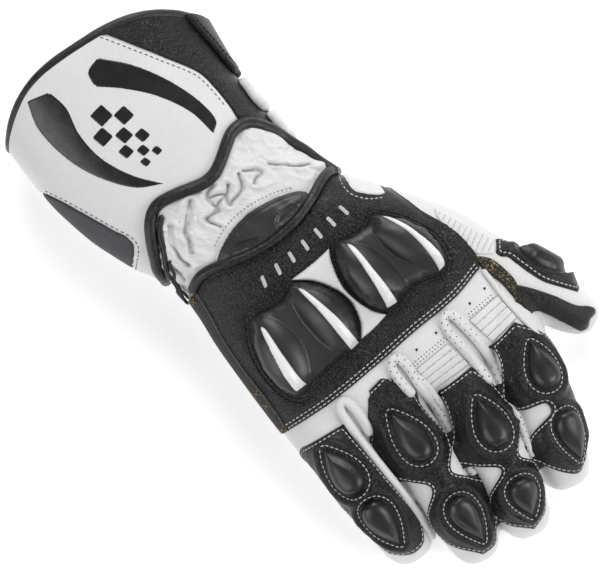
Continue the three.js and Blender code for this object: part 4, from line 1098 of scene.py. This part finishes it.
roll("side_seam", {
    "kind": "hand", "finish": "blackBinding", "radius": 1.0, "path": seamSide[::-1], "lift": 0.9,
})
ovalOutline = [(0.004, 1.024), (0.047, 0.906), (0.1, 0.832), (0.137, 0.842), (0.176, 0.895), (0.178, 0.931),
               (0.148, 0.978), (0.082, 1.074), (0.03, 1.086)]
panel("oval_leather", {
    "kind": "hand", "finish": "whiteLeather", "nodes": ["radial_patch"], "thickness": 1.9,
    "lift": 0.9, "edge": 1.6, "outline": ovalOutline, "reference": 0.0,
})
stitchAlong(guardMap, [(0.012, 0.95), (0.024, 0.919), (0.063, 0.841), (0.108, 0.79), (0.155, 0.805),
                       (0.191, 0.893)], 1.9)
# Plain bars where the back panel of such a glove carries its print.
marks = {"count": 7, "first": (0.212, -0.37), "last": (0.143, 0.6), "long": 5.6, "wide": 1.15, "lean": -1.2}
for number in range(marks["count"]):
    share = number / (marks["count"] - 1)
    middle = guardMap.flatten([mix(np.array(marks["first"]), np.array(marks["last"]), share)])[0]
    ends = [middle + [-marks["long"] / 2, -marks["lean"]], middle + [marks["long"] / 2, marks["lean"]]]
    bar = [ends[0] - [0, marks["wide"]], ends[1] - [0, marks["wide"]], ends[1] + [0, marks["wide"]],
           ends[0] + [0, marks["wide"]]]
    panel("back_mark_%d" % (number + 1), {
        "map": guardMap, "finish": "printGrey", "lift": 0.0,
        "onto": backPanel["tree"], "thickness": 0.25, "edge": 0.15, "rows": (0.15, 0.6), "spacing": 0.8, "relax": 1,
    }, outline=curveThrough(np.array(bar), 0.9, True, (0, 1, 2, 3)))

# Yellow crosses over the side seam.
for at, across in ((0.1, -0.955), (0.12, -0.95), (0.596, -0.962), (0.662, -0.957), (0.784, -0.97)):
    for lean in (-1, 1):
        stitchAlong(guardMap, [(at - 0.013, across - 0.022 * lean), (at + 0.013, across + 0.022 * lean)], 1.45,
                    "yellow", step=1.3, length=1.0, radius=0.3)
print("back of the hand dressed")

# Knuckle guards: lens-shaped domes on a padded saddle, with white blades along their ridges.
domes = {
    1: [(0.305, -0.6), (0.4, -0.735), (0.55, -0.81), (0.66, -0.79), (0.71, -0.74), (0.66, -0.575), (0.5, -0.46),
        (0.37, -0.49)],
    2: [(0.27, -0.24), (0.38, -0.33), (0.5, -0.36), (0.61, -0.33), (0.665, -0.24), (0.59, -0.08), (0.45, -0.02),
        (0.335, -0.08)],
    3: [(0.23, 0.3), (0.31, 0.16), (0.43, 0.075), (0.54, 0.08), (0.605, 0.19), (0.585, 0.34), (0.47, 0.41),
        (0.33, 0.42)],
    4: [(0.215, 0.68), (0.29, 0.54), (0.4, 0.485), (0.51, 0.52), (0.59, 0.64), (0.56, 0.74), (0.46, 0.79),
        (0.33, 0.8)],
}
domeLook = {"saddle": 3.4, "rounded": 4.5, "dome": 6.2, "flange": 0.8, "lift": guardSeat - 0.6}
domeSides = {
    number: [guardMap.flatten(smoothSpots("hand", side)) for side in (spots[:5], spots[4:] + spots[:1])]
    for number, spots in domes.items()
}


def domeRelief(flat, name):
    depth = edgeDistance(flat, guards[name]["flat"]) * insidePolygon(flat, guards[name]["flat"])
    edge = np.clip(depth / domeLook["rounded"], 0, 1)
    height = domeLook["saddle"] * np.sqrt(1 - (1 - edge) ** 2)
    for number in guards[name]["numbers"]:
        sides = domeSides[number]
        inside = insidePolygon(flat, np.concatenate([sides[0], sides[1][1:-1]]))
        first, second = (edgeDistance(flat, side, False) for side in sides)
        across = first + second
        widest = edgeDistance(sides[0], sides[1], False).max()
        hump = (4 * first * second / np.maximum(across, 0.01) ** 2) ** 0.8 * np.clip(across / widest, 0, 1)
        height += np.where(inside, domeLook["dome"] * hump, 0) * np.clip(depth / 1.5, 0, 1)
    return height


for name, guard in guards.items():
    panel("guard_" + name, {
        "finish": "mouldedBlack", "nodes": [guard["node"]], "map": guardMap,
        "lift": domeLook["lift"], "thickness": domeLook["flange"], "edge": 0.7, "spacing": 0.7,
        "relax": 12, "rows": (0.3, 0.7, 1.2, 1.9, 2.7),
    }, lambda flat, depth, name=name: domeRelief(flat, name), outline=guard["flat"])
    for row in range(2):
        out = ringStitch["gap"] + row * ringStitch["between"]
        stitch(guardMap, insetLine(guard["flat"][::-1], -out), 0.1, "black", 2.3, 1.9, 0.5, onto=backPanel["tree"])

blades = {
    1: ("ulnar", [(0.364, -0.6), (0.375, -0.585), (0.52, -0.6), (0.607, -0.612), (0.674, -0.62), (0.678, -0.7),
                  (0.587, -0.68), (0.463, -0.64)]),
    2: ("ulnar", [(0.314, -0.2), (0.325, -0.18), (0.484, -0.15), (0.574, -0.15), (0.648, -0.155), (0.655, -0.23),
                  (0.559, -0.225), (0.426, -0.21)]),
    3: ("radial", [(0.268, 0.335), (0.28, 0.35), (0.431, 0.29), (0.525, 0.26), (0.592, 0.245), (0.59, 0.16),
                   (0.505, 0.195), (0.384, 0.26)]),
    4: ("radial", [(0.252, 0.69), (0.262, 0.705), (0.407, 0.7), (0.496, 0.69), (0.57, 0.675), (0.578, 0.615),
                   (0.497, 0.63), (0.375, 0.665)]),
}
bladeLook = {"above": 1.2, "ridge": 0.8, "halfWide": 2.4}
for number, (name, spots) in blades.items():
    panel("blade_%d" % number, {
        "kind": "hand", "finish": "mouldedWhite", "nodes": ["knuckle_insert_%d" % number],
        "outline": spots, "corners": (4, 5), "reference": 0.0, "lift": domeLook["lift"] + domeLook["flange"],
        "thickness": bladeLook["above"], "edge": 0.45, "rows": (0.12, 0.3, 0.5, 0.9), "spacing": 0.55, "relax": 12,
    }, lambda flat, depth, name=name: domeRelief(flat, name)
        + bladeLook["ridge"] * np.clip(depth / bladeLook["halfWide"], 0, 1))
panel("guard_middle", {
    "kind": "hand", "finish": "whiteLeather", "nodes": ["knuckle_guard_center"],
    "outline": [(0.243, 0.22), (0.258, 0.03), (0.268, -0.2), (0.33, -0.07), (0.45, 0.0), (0.57, -0.05),
                (0.642, -0.13), (0.632, 0.0), (0.613, 0.13), (0.55, 0.06), (0.43, 0.04), (0.31, 0.13)],
    "corners": (0, 2, 6, 8), "reference": 0.0, "lift": guardSeat - 0.6, "thickness": 2.4, "edge": 1.0,
})
print("knuckles dressed")

# Finger welts: hairpin loops of rolled leather whose long legs run down between the fingers.
weltPaths = {
    1: ("ring", [(0.131, -1.16), (0.061, -1.09), (-0.056, -1.18), (-0.101, -1.35), (-0.068, -1.55), (0.025, -1.55),
                 (0.211, -1.45), (0.411, -1.28), (0.6, -1.17), (0.76, -1.13)], (0.75, 0.75, 0.55, 0.35), 2.1),
    2: ("ring", [(0.073, 0.7), (-0.021, 0.58), (-0.117, 0.56), (-0.149, 0.8), (-0.091, 1.0), (0.04, 1.04),
                 (0.158, 1.14), (0.3, 1.14), (0.45, 1.1), (0.62, 1.06)], (0.85, 0.85, 0.7, 0.5), 2.2),
    3: ("middle", [(0.14, 0.72), (0.012, 0.56), (-0.094, 0.38), (-0.201, 0.17), (-0.274, 0.12), (-0.31, 0.28),
                   (-0.283, 0.51), (-0.202, 0.69), (-0.101, 0.9), (0.012, 1.02), (0.142, 1.04), (0.3, 1.06),
                   (0.46, 1.04), (0.6, 1.0)], (0.85, 0.85, 0.7, 0.5), 2.2),
}
perforation = {"step": 3.4, "aside": 0.55, "radius": 0.33, "length": 0.7}


def digitPlan(kind, spots):
    member = limbs[kind]
    spots = np.asarray(spots, float) * [member["length"], member["width"] / 2]
    cos, sin = math.cos(member["heading"]), math.sin(member["heading"])
    return member["origin"] + spots @ np.array([[cos, sin], [-sin, cos]])


# The height of a surface under a point of the floor plan.
def heightUnder(tree, x, y):
    hit = tree.ray_cast(Vector((x, y, 90)), Vector((0, 0, -1)))[0]
    return None if hit is None else hit[2]


# The skin's heights, and no lower than a valley.
def heightOver(plan, valley):
    return np.maximum([heightUnder(skinTree, x, y) or 0 for x, y in plan], valley)


def planRoll(name, plan, look):
    plan = curveThrough(plan, 0.8, False)
    valley = np.interp(np.linspace(0, 1, len(plan)), (0, 0.4, 0.7, 1), np.array(look["valley"]) * hand["height"])
    seats = np.column_stack([plan, heightOver(plan, valley)])
    look = {"relax": 12, "uneven": 0.07, "lump": 6.0, "seed": 9.0, "lift": 0.5, **look}
    centres, reach = rollOn(name, seats, np.tile([0.0, 0.0, 1.0], (len(seats), 1)), look)
    # Perforations: dark dots of painted shade along the roll.
    if look.get("perforated"):
        for i, place in enumerate(np.arange(perforation["step"], reach[-1] - 2, perforation["step"] / 2)):
            centre = np.array([np.interp(place, reach, centres[:, k]) for k in range(3)])
            ahead = np.array([np.interp(place + 0.5, reach, centres[:, k]) for k in range(3)]) - centre
            ahead /= np.linalg.norm(ahead)
            side = np.cross(ahead, (0, 0, 1)) * (-1) ** i * math.sin(perforation["aside"])
            out = side + np.array([0, 0, math.cos(perforation["aside"])])
            dot = centre + out * look["radius"] * 0.95
            half = ahead * perforation["length"] / 2
            threads["hole"].append((dot - half, dot + half, out, perforation["radius"]))


for number, (kind, spots, valley, radius) in weltPaths.items():
    planRoll("hairpin_%d" % number, digitPlan(kind, spots), {
        "radius": radius, "valley": valley, "finish": "whiteLeather",
        "nodes": ["finger_welt_%d" % number], "perforated": number > 1,
    })
planRoll("hairpin_rib", digitPlan("ring", [(-0.06, 0.98), (0.05, 1.2), (0.17, 1.3), (0.3, 1.28), (0.45, 1.22)]), {
    "radius": 1.7, "valley": (0.85, 0.85, 0.65, 0.5), "finish": "whiteLeather", "perforated": True,
})

# White gussets between the fingers, low in the gaps.
gussets = {
    "one": ("little", "ring", 0.1, 0.72, 3.4), "two": ("ring", "middle", 0.12, 0.74, 3.8),
    "three": ("middle", "index", 0.12, 0.66, 4.2),
}
gussetHeights = (27, 24, 15)
for number, (first, second, start, end, radius) in gussets.items():
    spots = [(share, 0) for share in np.linspace(start, end, 7)]
    plan = curveThrough((digitPlan(first, spots) + digitPlan(second, spots)) / 2, 0.8, False)
    heights = np.interp(np.linspace(0, 1, len(plan)), (0, 0.5, 1), gussetHeights)
    centres = np.column_stack([plan, heights])
    fade = np.clip(np.minimum(np.arange(len(plan)), np.arange(len(plan))[::-1]) / 5, 0.15, 1)
    gusset = tube("finger_gusset_" + number, centres, np.tile([0.0, 0.0, 1.0], (len(plan), 1)), radius * fade)
    dress(gusset, "whiteLeather")

# Finger patches with padded rings round two sliders each.
slider = {
    "width": 14.0, "height": 4.6, "lift": 1.2, "ring": 1.5, "swell": 1.7, "swellAt": 3.4, "swellWide": 1.9,
    "fold": 0.5,
}
patches = {
    "little": {
        "outline": [(-0.02, -0.98), (0.01, 0.52), (0.26, 0.6), (0.51, 0.68), (0.78, 0.74), (0.86, 0.6), (0.93, 0.35),
                    (0.94, -0.14), (0.86, -0.66), (0.68, -0.86), (0.4, -1.0), (0.09, -1.05)],
        "corners": (0, 1), "sliders": [((0.06, -0.36), (0.42, -0.25)), ((0.84, -0.2), (0.49, -0.28))],
    },
    "ring": {
        "outline": [(-0.03, -0.98), (-0.1, 0.24), (0.06, 0.64), (0.2, 0.8), (0.33, 0.92), (0.41, 0.82), (0.5, 0.5),
                    (0.58, 0.86), (0.82, 0.84), (0.95, 0.5), (0.965, 0.0), (0.82, -0.78), (0.63, -0.86),
                    (0.52, -0.35), (0.42, -0.9), (0.2, -0.98), (0.08, -0.9)],
        "corners": (0, 1, 10), "sliders": [((0.08, -0.2), (0.39, 0.05)), ((0.9, 0.2), (0.62, 0.08))],
    },
    "middle": {
        "outline": [(0.06, -0.88), (0.01, 0.36), (0.15, 0.76), (0.34, 0.92), (0.43, 0.9), (0.55, 0.58), (0.61, 0.88),
                    (0.76, 0.86), (0.9, 0.6), (0.965, 0.07), (0.86, -0.74), (0.69, -0.8), (0.58, -0.15),
                    (0.5, -0.88), (0.31, -0.95), (0.15, -0.86)],
        "corners": (0, 1, 9), "sliders": [((0.17, 0.08), (0.47, 0.2)), ((0.89, 0.15), (0.66, 0.22))],
    },
    "index": {
        "outline": [(-0.04, 0.12), (0.04, -0.78), (0.15, -0.76), (0.28, -0.9), (0.45, -0.78), (0.47, 0.1),
                    (0.52, 0.16), (0.62, -0.72), (0.78, -0.74), (0.93, 0.3), (0.88, 0.6), (0.72, 1.0),
                    (0.59, 1.05), (0.46, 1.02), (0.3, 1.05), (0.1, 0.9)],
        "corners": (0, 1), "sliders": [((0.1, 0.3), (0.4, 0.42)), ((0.86, 0.45), (0.54, 0.48))],
    },
}


# A drop-shaped outline on a skin map, from a sharp tip to a round end. It comes out nine tenths as wide as the
# width that is asked for.
def teardrop(skinMap, tip, end, width, count=72):
    ends = skinMap.flatten([tip, end])
    run = ends[1] - ends[0]
    length = math.hypot(*run)
    angle = np.linspace(0, 2 * math.pi, count, endpoint=False)
    share = (1 - np.cos(angle)) / 2
    side = 0.45 * width * np.sin(angle) * np.abs(np.sin(angle / 2)) / 0.77
    across = np.array([-run[1], run[0]]) / length
    return ends[0] + share[:, None] * run + side[:, None] * across


# Padding that swells in a ring round each slider, with its stitching pressed in.
def bulgeRound(drops):
    def relief(flat, depth):
        spread = np.column_stack([flat, np.zeros(len(flat))])
        height = 0.7 * np.clip(depth / 5, 0, 1) * (1 + 0.5 * noiseAt(spread, 7.0, 1.0))
        for drop in drops:
            away = edgeDistance(flat, drop) * np.where(insidePolygon(flat, drop), -1, 1)
            ring = np.exp(-(((away - slider["swellAt"]) / slider["swellWide"]) ** 2))
            height += slider["swell"] * ring * np.clip(depth / 3, 0, 1)
            height -= 0.5 * np.exp(-(((away - slider["ring"]) / 0.8) ** 2))
        return height
    return relief


# A slider: a dome with a curved fold pressed in along one side.
def slideOn(name, skinMap, drop, node, height, fullness=0.6):
    centre = drop.mean(axis=0)
    far = drop[np.argmax(np.linalg.norm(drop - centre, axis=1))]
    run = (centre - far) / np.linalg.norm(centre - far)
    widest = edgeDistance(np.array([centre]), drop)[0]

    def swell(flat, depth):
        dome = np.clip(1 - (1 - np.clip(depth / (0.95 * widest), 0, 1)) ** 2, 0, 1) ** fullness
        aside = (flat - centre) @ np.array([-run[1], run[0]])
        ahead = (flat - centre) @ run
        fold = np.exp(-(((depth - 0.42 * widest) / 0.45) ** 2)) * (aside > 0.6)
        fold = fold * np.clip(1 - abs(ahead / widest - 0.1), 0, 1)
        return height * dome - slider["fold"] * fold

    panel(name, {
        "map": skinMap, "finish": "sliderBlack", "nodes": [node], "lift": slider["lift"], "thickness": 0.5,
        "edge": 0.5, "rows": (0.25, 0.6, 1.1, 1.7, 2.3), "spacing": 0.6, "relax": 8,
    }, swell, outline=drop)


for name, patch in patches.items():
    skinMap = SkinMap(name, 0.4 * limbs[name]["length"])
    drops = [teardrop(skinMap, tip, end, slider["width"]) for tip, end in patch["sliders"]]
    patchPanel = panel("patch_" + name, {
        "kind": name, "finish": "blackLeather", "nodes": ["finger_patch_" + name],
        "outline": patch["outline"], "corners": patch["corners"], "thickness": leather["panel"], "edge": 0.9,
        "reference": 0.4 * limbs[name]["length"], "spacing": 1.0, "probe": 6.0, "grooves": (1.5,), "stitches": (1.5,),
    }, bulgeRound(drops))
    for number, drop in enumerate(drops, 1):
        title = "slider_%s_%d" % (name, number)
        slideOn(title, skinMap, drop, "finger_" + title, slider["height"])
        stitch(skinMap, insetLine(drop[::-1], -slider["ring"]), 0.05, "white", onto=patchPanel["tree"])
print("fingers dressed")


# A sheet laid over limbs and the gaps between them, no lower than a valley.
def planPanel(name, plan, look, relief=None):
    flat, faces = fillOutline(plan, look.get("spacing", 0.9), (0.3, 0.8))
    depth = edgeDistance(flat, plan)
    rim = depth < 0.01
    top = relax(np.column_stack([flat, heightOver(flat, look["valley"])]), edgesOf(faces), 6, rim)
    under = top - [0, 0, 1.5]
    top[:, 2] += look["thickness"] * np.sqrt(1 - (1 - np.clip(depth / look["edge"], 0, 1)) ** 2)
    if relief is not None:
        top[:, 2] += relief(flat, depth)
    made = meshObject(name, np.concatenate([top, under[~rim]]), closedBelow(faces, rim))
    dress(made, look["finish"], look["nodes"])
    return BVHTree.FromPolygons([tuple(point) for point in top], faces)


# Marks in a straight row over a surface, seen from above.
def planMarks(start, end, tree, thread, step, length, radius):
    count = max(1, round(math.dist(start, end) / step))
    run = (end - start) / max(math.dist(start, end), 1e-6)
    for i in range(count):
        x, y = mix(start, end, (i + 0.5) / count)
        level = heightUnder(tree, x, y)
        if level is None:
            continue
        half = np.array([run[0], run[1], 0]) * length / 2
        centre = np.array([x, y, level])
        threads[thread].append((centre - half, centre + half, np.array([0.0, 0.0, 1.0]), radius))


# Stretch panels: flat ribs between fine grooves, with perforations beside them as dots of painted shade.
stretches = {
    "stretch_panel_middle": {
        "kind": "middle", "corners": [(-0.1, -1.33), (-0.159, -0.02), (-0.007, 0.35), (0.045, -1.09)],
        "dots": [((-0.134, -1.37), (-0.2, 0.09)), ((-0.117, -1.35), (-0.18, 0.05))],
    },
    "stretch_panel_index": {
        "kind": "index", "corners": [(-0.142, -1.26), (-0.218, -0.07), (-0.056, 0.25), (0.029, -0.79)],
        "dots": [((-0.176, -1.23), (-0.233, -0.23)), ((-0.157, -1.23), (-0.215, -0.2))],
    },
}
ribLook = {"count": 4, "groove": 0.5, "wide": 0.3, "line": 0.13, "dot": 0.3}
for node, look in stretches.items():
    corners = digitPlan(look["kind"], look["corners"])
    outline = curveThrough(corners, 0.9, True, (0, 1, 2, 3))

    def ribbed(flat, depth, corners=corners):
        near = np.full(len(flat), 99.0)
        for i in range(1, ribLook["count"]):
            share = i / ribLook["count"]
            line = np.array([mix(corners[0], corners[3], share), mix(corners[1], corners[2], share)])
            near = np.minimum(near, edgeDistance(flat, line, False))
        return -ribLook["groove"] * np.exp(-((near / ribLook["wide"]) ** 2))

    tree = planPanel(node + "_ribs", outline, {
        "valley": 0.75 * hand["height"], "thickness": 0.9, "edge": 0.5, "spacing": 0.5,
        "finish": "whiteLeather", "nodes": [node],
    }, ribbed)
    for i in range(ribLook["count"] + 1):
        share = min(max(i / ribLook["count"], 0.01), 0.99)
        line = (mix(corners[0], corners[3], share), mix(corners[1], corners[2], share))
        planMarks(mix(*line, 0.02), mix(*line, 0.98), tree, "grey", 0.8, 0.9, ribLook["line"])
    for line in look["dots"]:
        planMarks(*digitPlan(look["kind"], line), skinTree, "hole", 1.6, 0.5, ribLook["dot"])

# Four larger holes in the white leather in front of the back panel, drawn as dark dots of painted shade.
for at, across in ((0.765, 0.657), (0.747, 0.81), (0.806, 0.146), (0.791, 0.332)):
    along, turn = spotsToTurn("hand", [(at, across)])
    spot = skinPoints(limbs["body"], along, turn)[0][:2]
    planMarks(spot, spot + [0.1, 0.1], skinTree, "hole", 1.0, 1.0, 0.7)

# Thumb: ribs over its root.
thumbRibs = {"count": 12, "outline": [(0.024, 0.99), (0.06, 0.7), (0.313, 0.16), (0.392, 0.49), (0.36, 0.96)]}
ribMap = SkinMap("thumb", 0.2 * thumb["length"])
ribStart, ribEnd = ribMap.flatten([(0.03, 0.6), (0.385, 0.6)])


def ribRelief(flat, depth):
    run = ribEnd - ribStart
    share = (flat - ribStart) @ run / (run @ run) * thumbRibs["count"]
    away = np.abs(share - np.round(share)) * np.linalg.norm(run) / thumbRibs["count"]
    return (0.25 - 0.7 * np.exp(-((away / 0.3) ** 2))) * np.clip(depth / 0.6, 0, 1)


ribbed = panel("thumb_ribs", {
    "kind": "thumb", "finish": "whiteLeather", "nodes": ["thumb_stretch_panel"],
    "outline": thumbRibs["outline"], "corners": (0, 2, 3, 4), "reference": 0.2 * thumb["length"], "thickness": 0.5,
    "edge": 0.5, "spacing": 0.45, "probe": 7.0, "relax": 6,
}, ribRelief)
for row in range(1, thumbRibs["count"]):
    middle = mix(ribStart, ribEnd, row / thumbRibs["count"])
    rib = curveThrough(np.array([middle - [0, 9], middle + [0, 9]]), 0.5, False)
    rib = rib[insidePolygon(rib, ribbed["outline"])]
    if len(rib) > 4:
        stitch(ribMap, rib, -0.03, "grey", 0.9, 1.0, 0.11, False, onto=ribbed["tree"])

# Thumb: outer patch with its slider, side strip, and the mesh between thumb and hand.
thumbMap = SkinMap("thumb", 0.6 * thumb["length"])
thumbDrop = thumbMap.flatten(
    smoothSpots("thumb", [(0.48, 0.98), (0.53, 1.1), (0.62, 1.14), (0.7, 1.1), (0.745, 0.98), (0.68, 0.86),
                          (0.57, 0.78)], 0.8, True)
)
panel("thumb_leather", {
    "kind": "thumb", "finish": "blackLeather", "nodes": ["thumb_patch"],
    "outline": [(0.359, 1.0), (0.375, 0.8), (0.391, 0.52), (0.42, 0.5), (0.449, 0.6), (0.499, 0.54), (0.575, 0.45),
                (0.654, 0.41), (0.747, 0.52), (0.84, 0.66), (0.83, 0.9), (0.8, 1.08), (0.7, 1.15), (0.55, 1.15),
                (0.46, 1.1), (0.4, 1.06)],
    "corners": (0, 2, 9), "thickness": leather["panel"], "edge": 0.9, "reference": 0.6 * thumb["length"],
    "stitches": (1.4,), "grooves": (1.4,), "spacing": 0.8,
}, bulgeRound([thumbDrop]))
slideOn("slider_thumb", thumbMap, thumbDrop, "thumb_slider", 5.2, 0.8)
panel("thumb_side", {
    "kind": "thumb", "finish": "blackLeather", "nodes": ["thumb_side_strip"],
    "outline": [(0.53, -0.16), (0.632, 0.02), (0.74, 0.15), (0.854, 0.21), (0.93, 0.42), (0.965, 0.3), (0.955, -0.02),
                (0.965, -0.3), (0.94, -0.53), (0.829, -0.56), (0.714, -0.6), (0.6, -0.72)],
    "corners": (0, 4, 8, 11), "thickness": leather["panel"] + 0.6, "edge": 1.4, "probe": 6.0,
})
nettingRim = [(0.31, 0.1), (0.345, 0.22), (0.389, 0.28), (0.465, 0.17), (0.548, -0.1), (0.6, -0.74)]
nettingEdge = [(0.545, -0.55), (0.46, -0.32), (0.389, -0.3), (0.345, -0.12)]
netting = digitPlan("thumb", nettingRim + nettingEdge)
nettingTree = planPanel("thumb_netting", curveThrough(netting, 0.9, True, (0, 5)), {
    "valley": 21.0, "thickness": 1.4, "edge": 1.2, "finish": "meshFabric", "nodes": ["thumb_mesh"],
})
for share in (0.2, 0.45, 0.7):
    outer, inner = np.array(nettingRim), np.array([nettingRim[0], *nettingEdge[::-1], nettingRim[-1]])
    line = curveThrough(digitPlan("thumb", mix(outer, inner, share)), 0.5, False)
    for i in range(2, len(line) - 4, 4):
        planMarks(line[i], line[i + 2], nettingTree, "yellow", 3.0, 0.9, 0.16)
piping = [(-0.39, -0.22), (-0.35, -0.15), (-0.305, -0.07), (-0.199, 0.07), (-0.075, 0.33), (0.055, 0.6), (0.12, 0.75)]
planRoll("side_piping", digitPlan("index", piping), {
    "radius": 1.3, "valley": (0.75, 0.75, 0.75, 0.7), "finish": "whiteLeather",
    "nodes": ["radial_piping"],
})
print("thumb dressed")


# Stitches, and the dots of painted shade for holes: one short round thread, copied to every place and joined by
# colour.
def threadTemplate():
    bpy.ops.mesh.primitive_uv_sphere_add(segments=6, ring_count=4, radius=1)
    made = bpy.context.object
    points = np.array([tuple(vertex.co) for vertex in made.data.vertices])
    faces = [tuple(polygon.vertices) for polygon in made.data.polygons]
    bpy.data.objects.remove(made)
    return points, faces


threadPoints, threadFaces = threadTemplate()
threadFinishes = {
    "white": "whiteThread", "grey": "greyThread", "black": "blackThread", "yellow": "yellowThread",
    "hole": "paintedHoleShade",
}
for colour, places in threads.items():
    if not places:
        continue
    points, faces = [], []
    for start, end, normal, radius in places:
        run = end - start
        side = np.cross(normal, run)
        side /= max(np.linalg.norm(side), 1e-9)
        up = np.cross(run, side)
        up /= max(np.linalg.norm(up), 1e-9)
        base = len(points) * len(threadPoints)
        points.append((start + end) / 2 + np.outer(threadPoints[:, 2], run / 2 * 1.15)
                      + radius * (np.outer(threadPoints[:, 0], side) + np.outer(threadPoints[:, 1], up)))
        faces.extend(tuple(i + base for i in face) for face in threadFaces)
    dress(meshObject(colour + "_stitches", np.concatenate(points), faces), threadFinishes[colour])
print("stitches:", {colour: len(places) for colour, places in threads.items()})

# Floor and light
floor = {"size": 6.0, "colour": (0.9, 0.9, 0.9), "glow": 0.35}
bpy.ops.mesh.primitive_plane_add(size=floor["size"], location=(0, 0, 0))
floorPlane = bpy.context.object
floorPlane.name = "floor"
floorFinish = Finish("floorFinish", {
    "Base Color": rgb(*floor["colour"]), "Roughness": 1.0, "Specular IOR Level": 0.0,
    "Emission Color": rgb(1, 1, 1), "Emission Strength": floor["glow"],
})
floorPlane.data.materials.append(floorFinish.material)

lamps = {
    "key": {"place": (-0.95, 0.6, 0.85), "size": 1.0, "power": 15.0},
    "rim": {"place": (0.85, 0.8, 0.75), "size": 0.8, "power": 10.0},
    "fill": {"place": (0.3, -1.1, 0.8), "size": 1.0, "power": 9.0},
}
skyStrength = 0.22
for name, lamp in lamps.items():
    bpy.ops.object.light_add(type="AREA", location=lamp["place"])
    made = bpy.context.object
    made.name = name
    made.data.size = lamp["size"]
    made.data.energy = lamp["power"]
    made.rotation_euler = Vector(lamp["place"]).to_track_quat("Z", "Y").to_euler()
world = bpy.data.worlds.new("studio")
world.use_nodes = True
sky = world.node_tree.nodes["Background"]
sky.inputs["Color"].default_value = (1, 1, 1, 1)
sky.inputs["Strength"].default_value = skyStrength
bpy.context.scene.world = world
bpy.context.scene.view_settings.view_transform = "Standard"
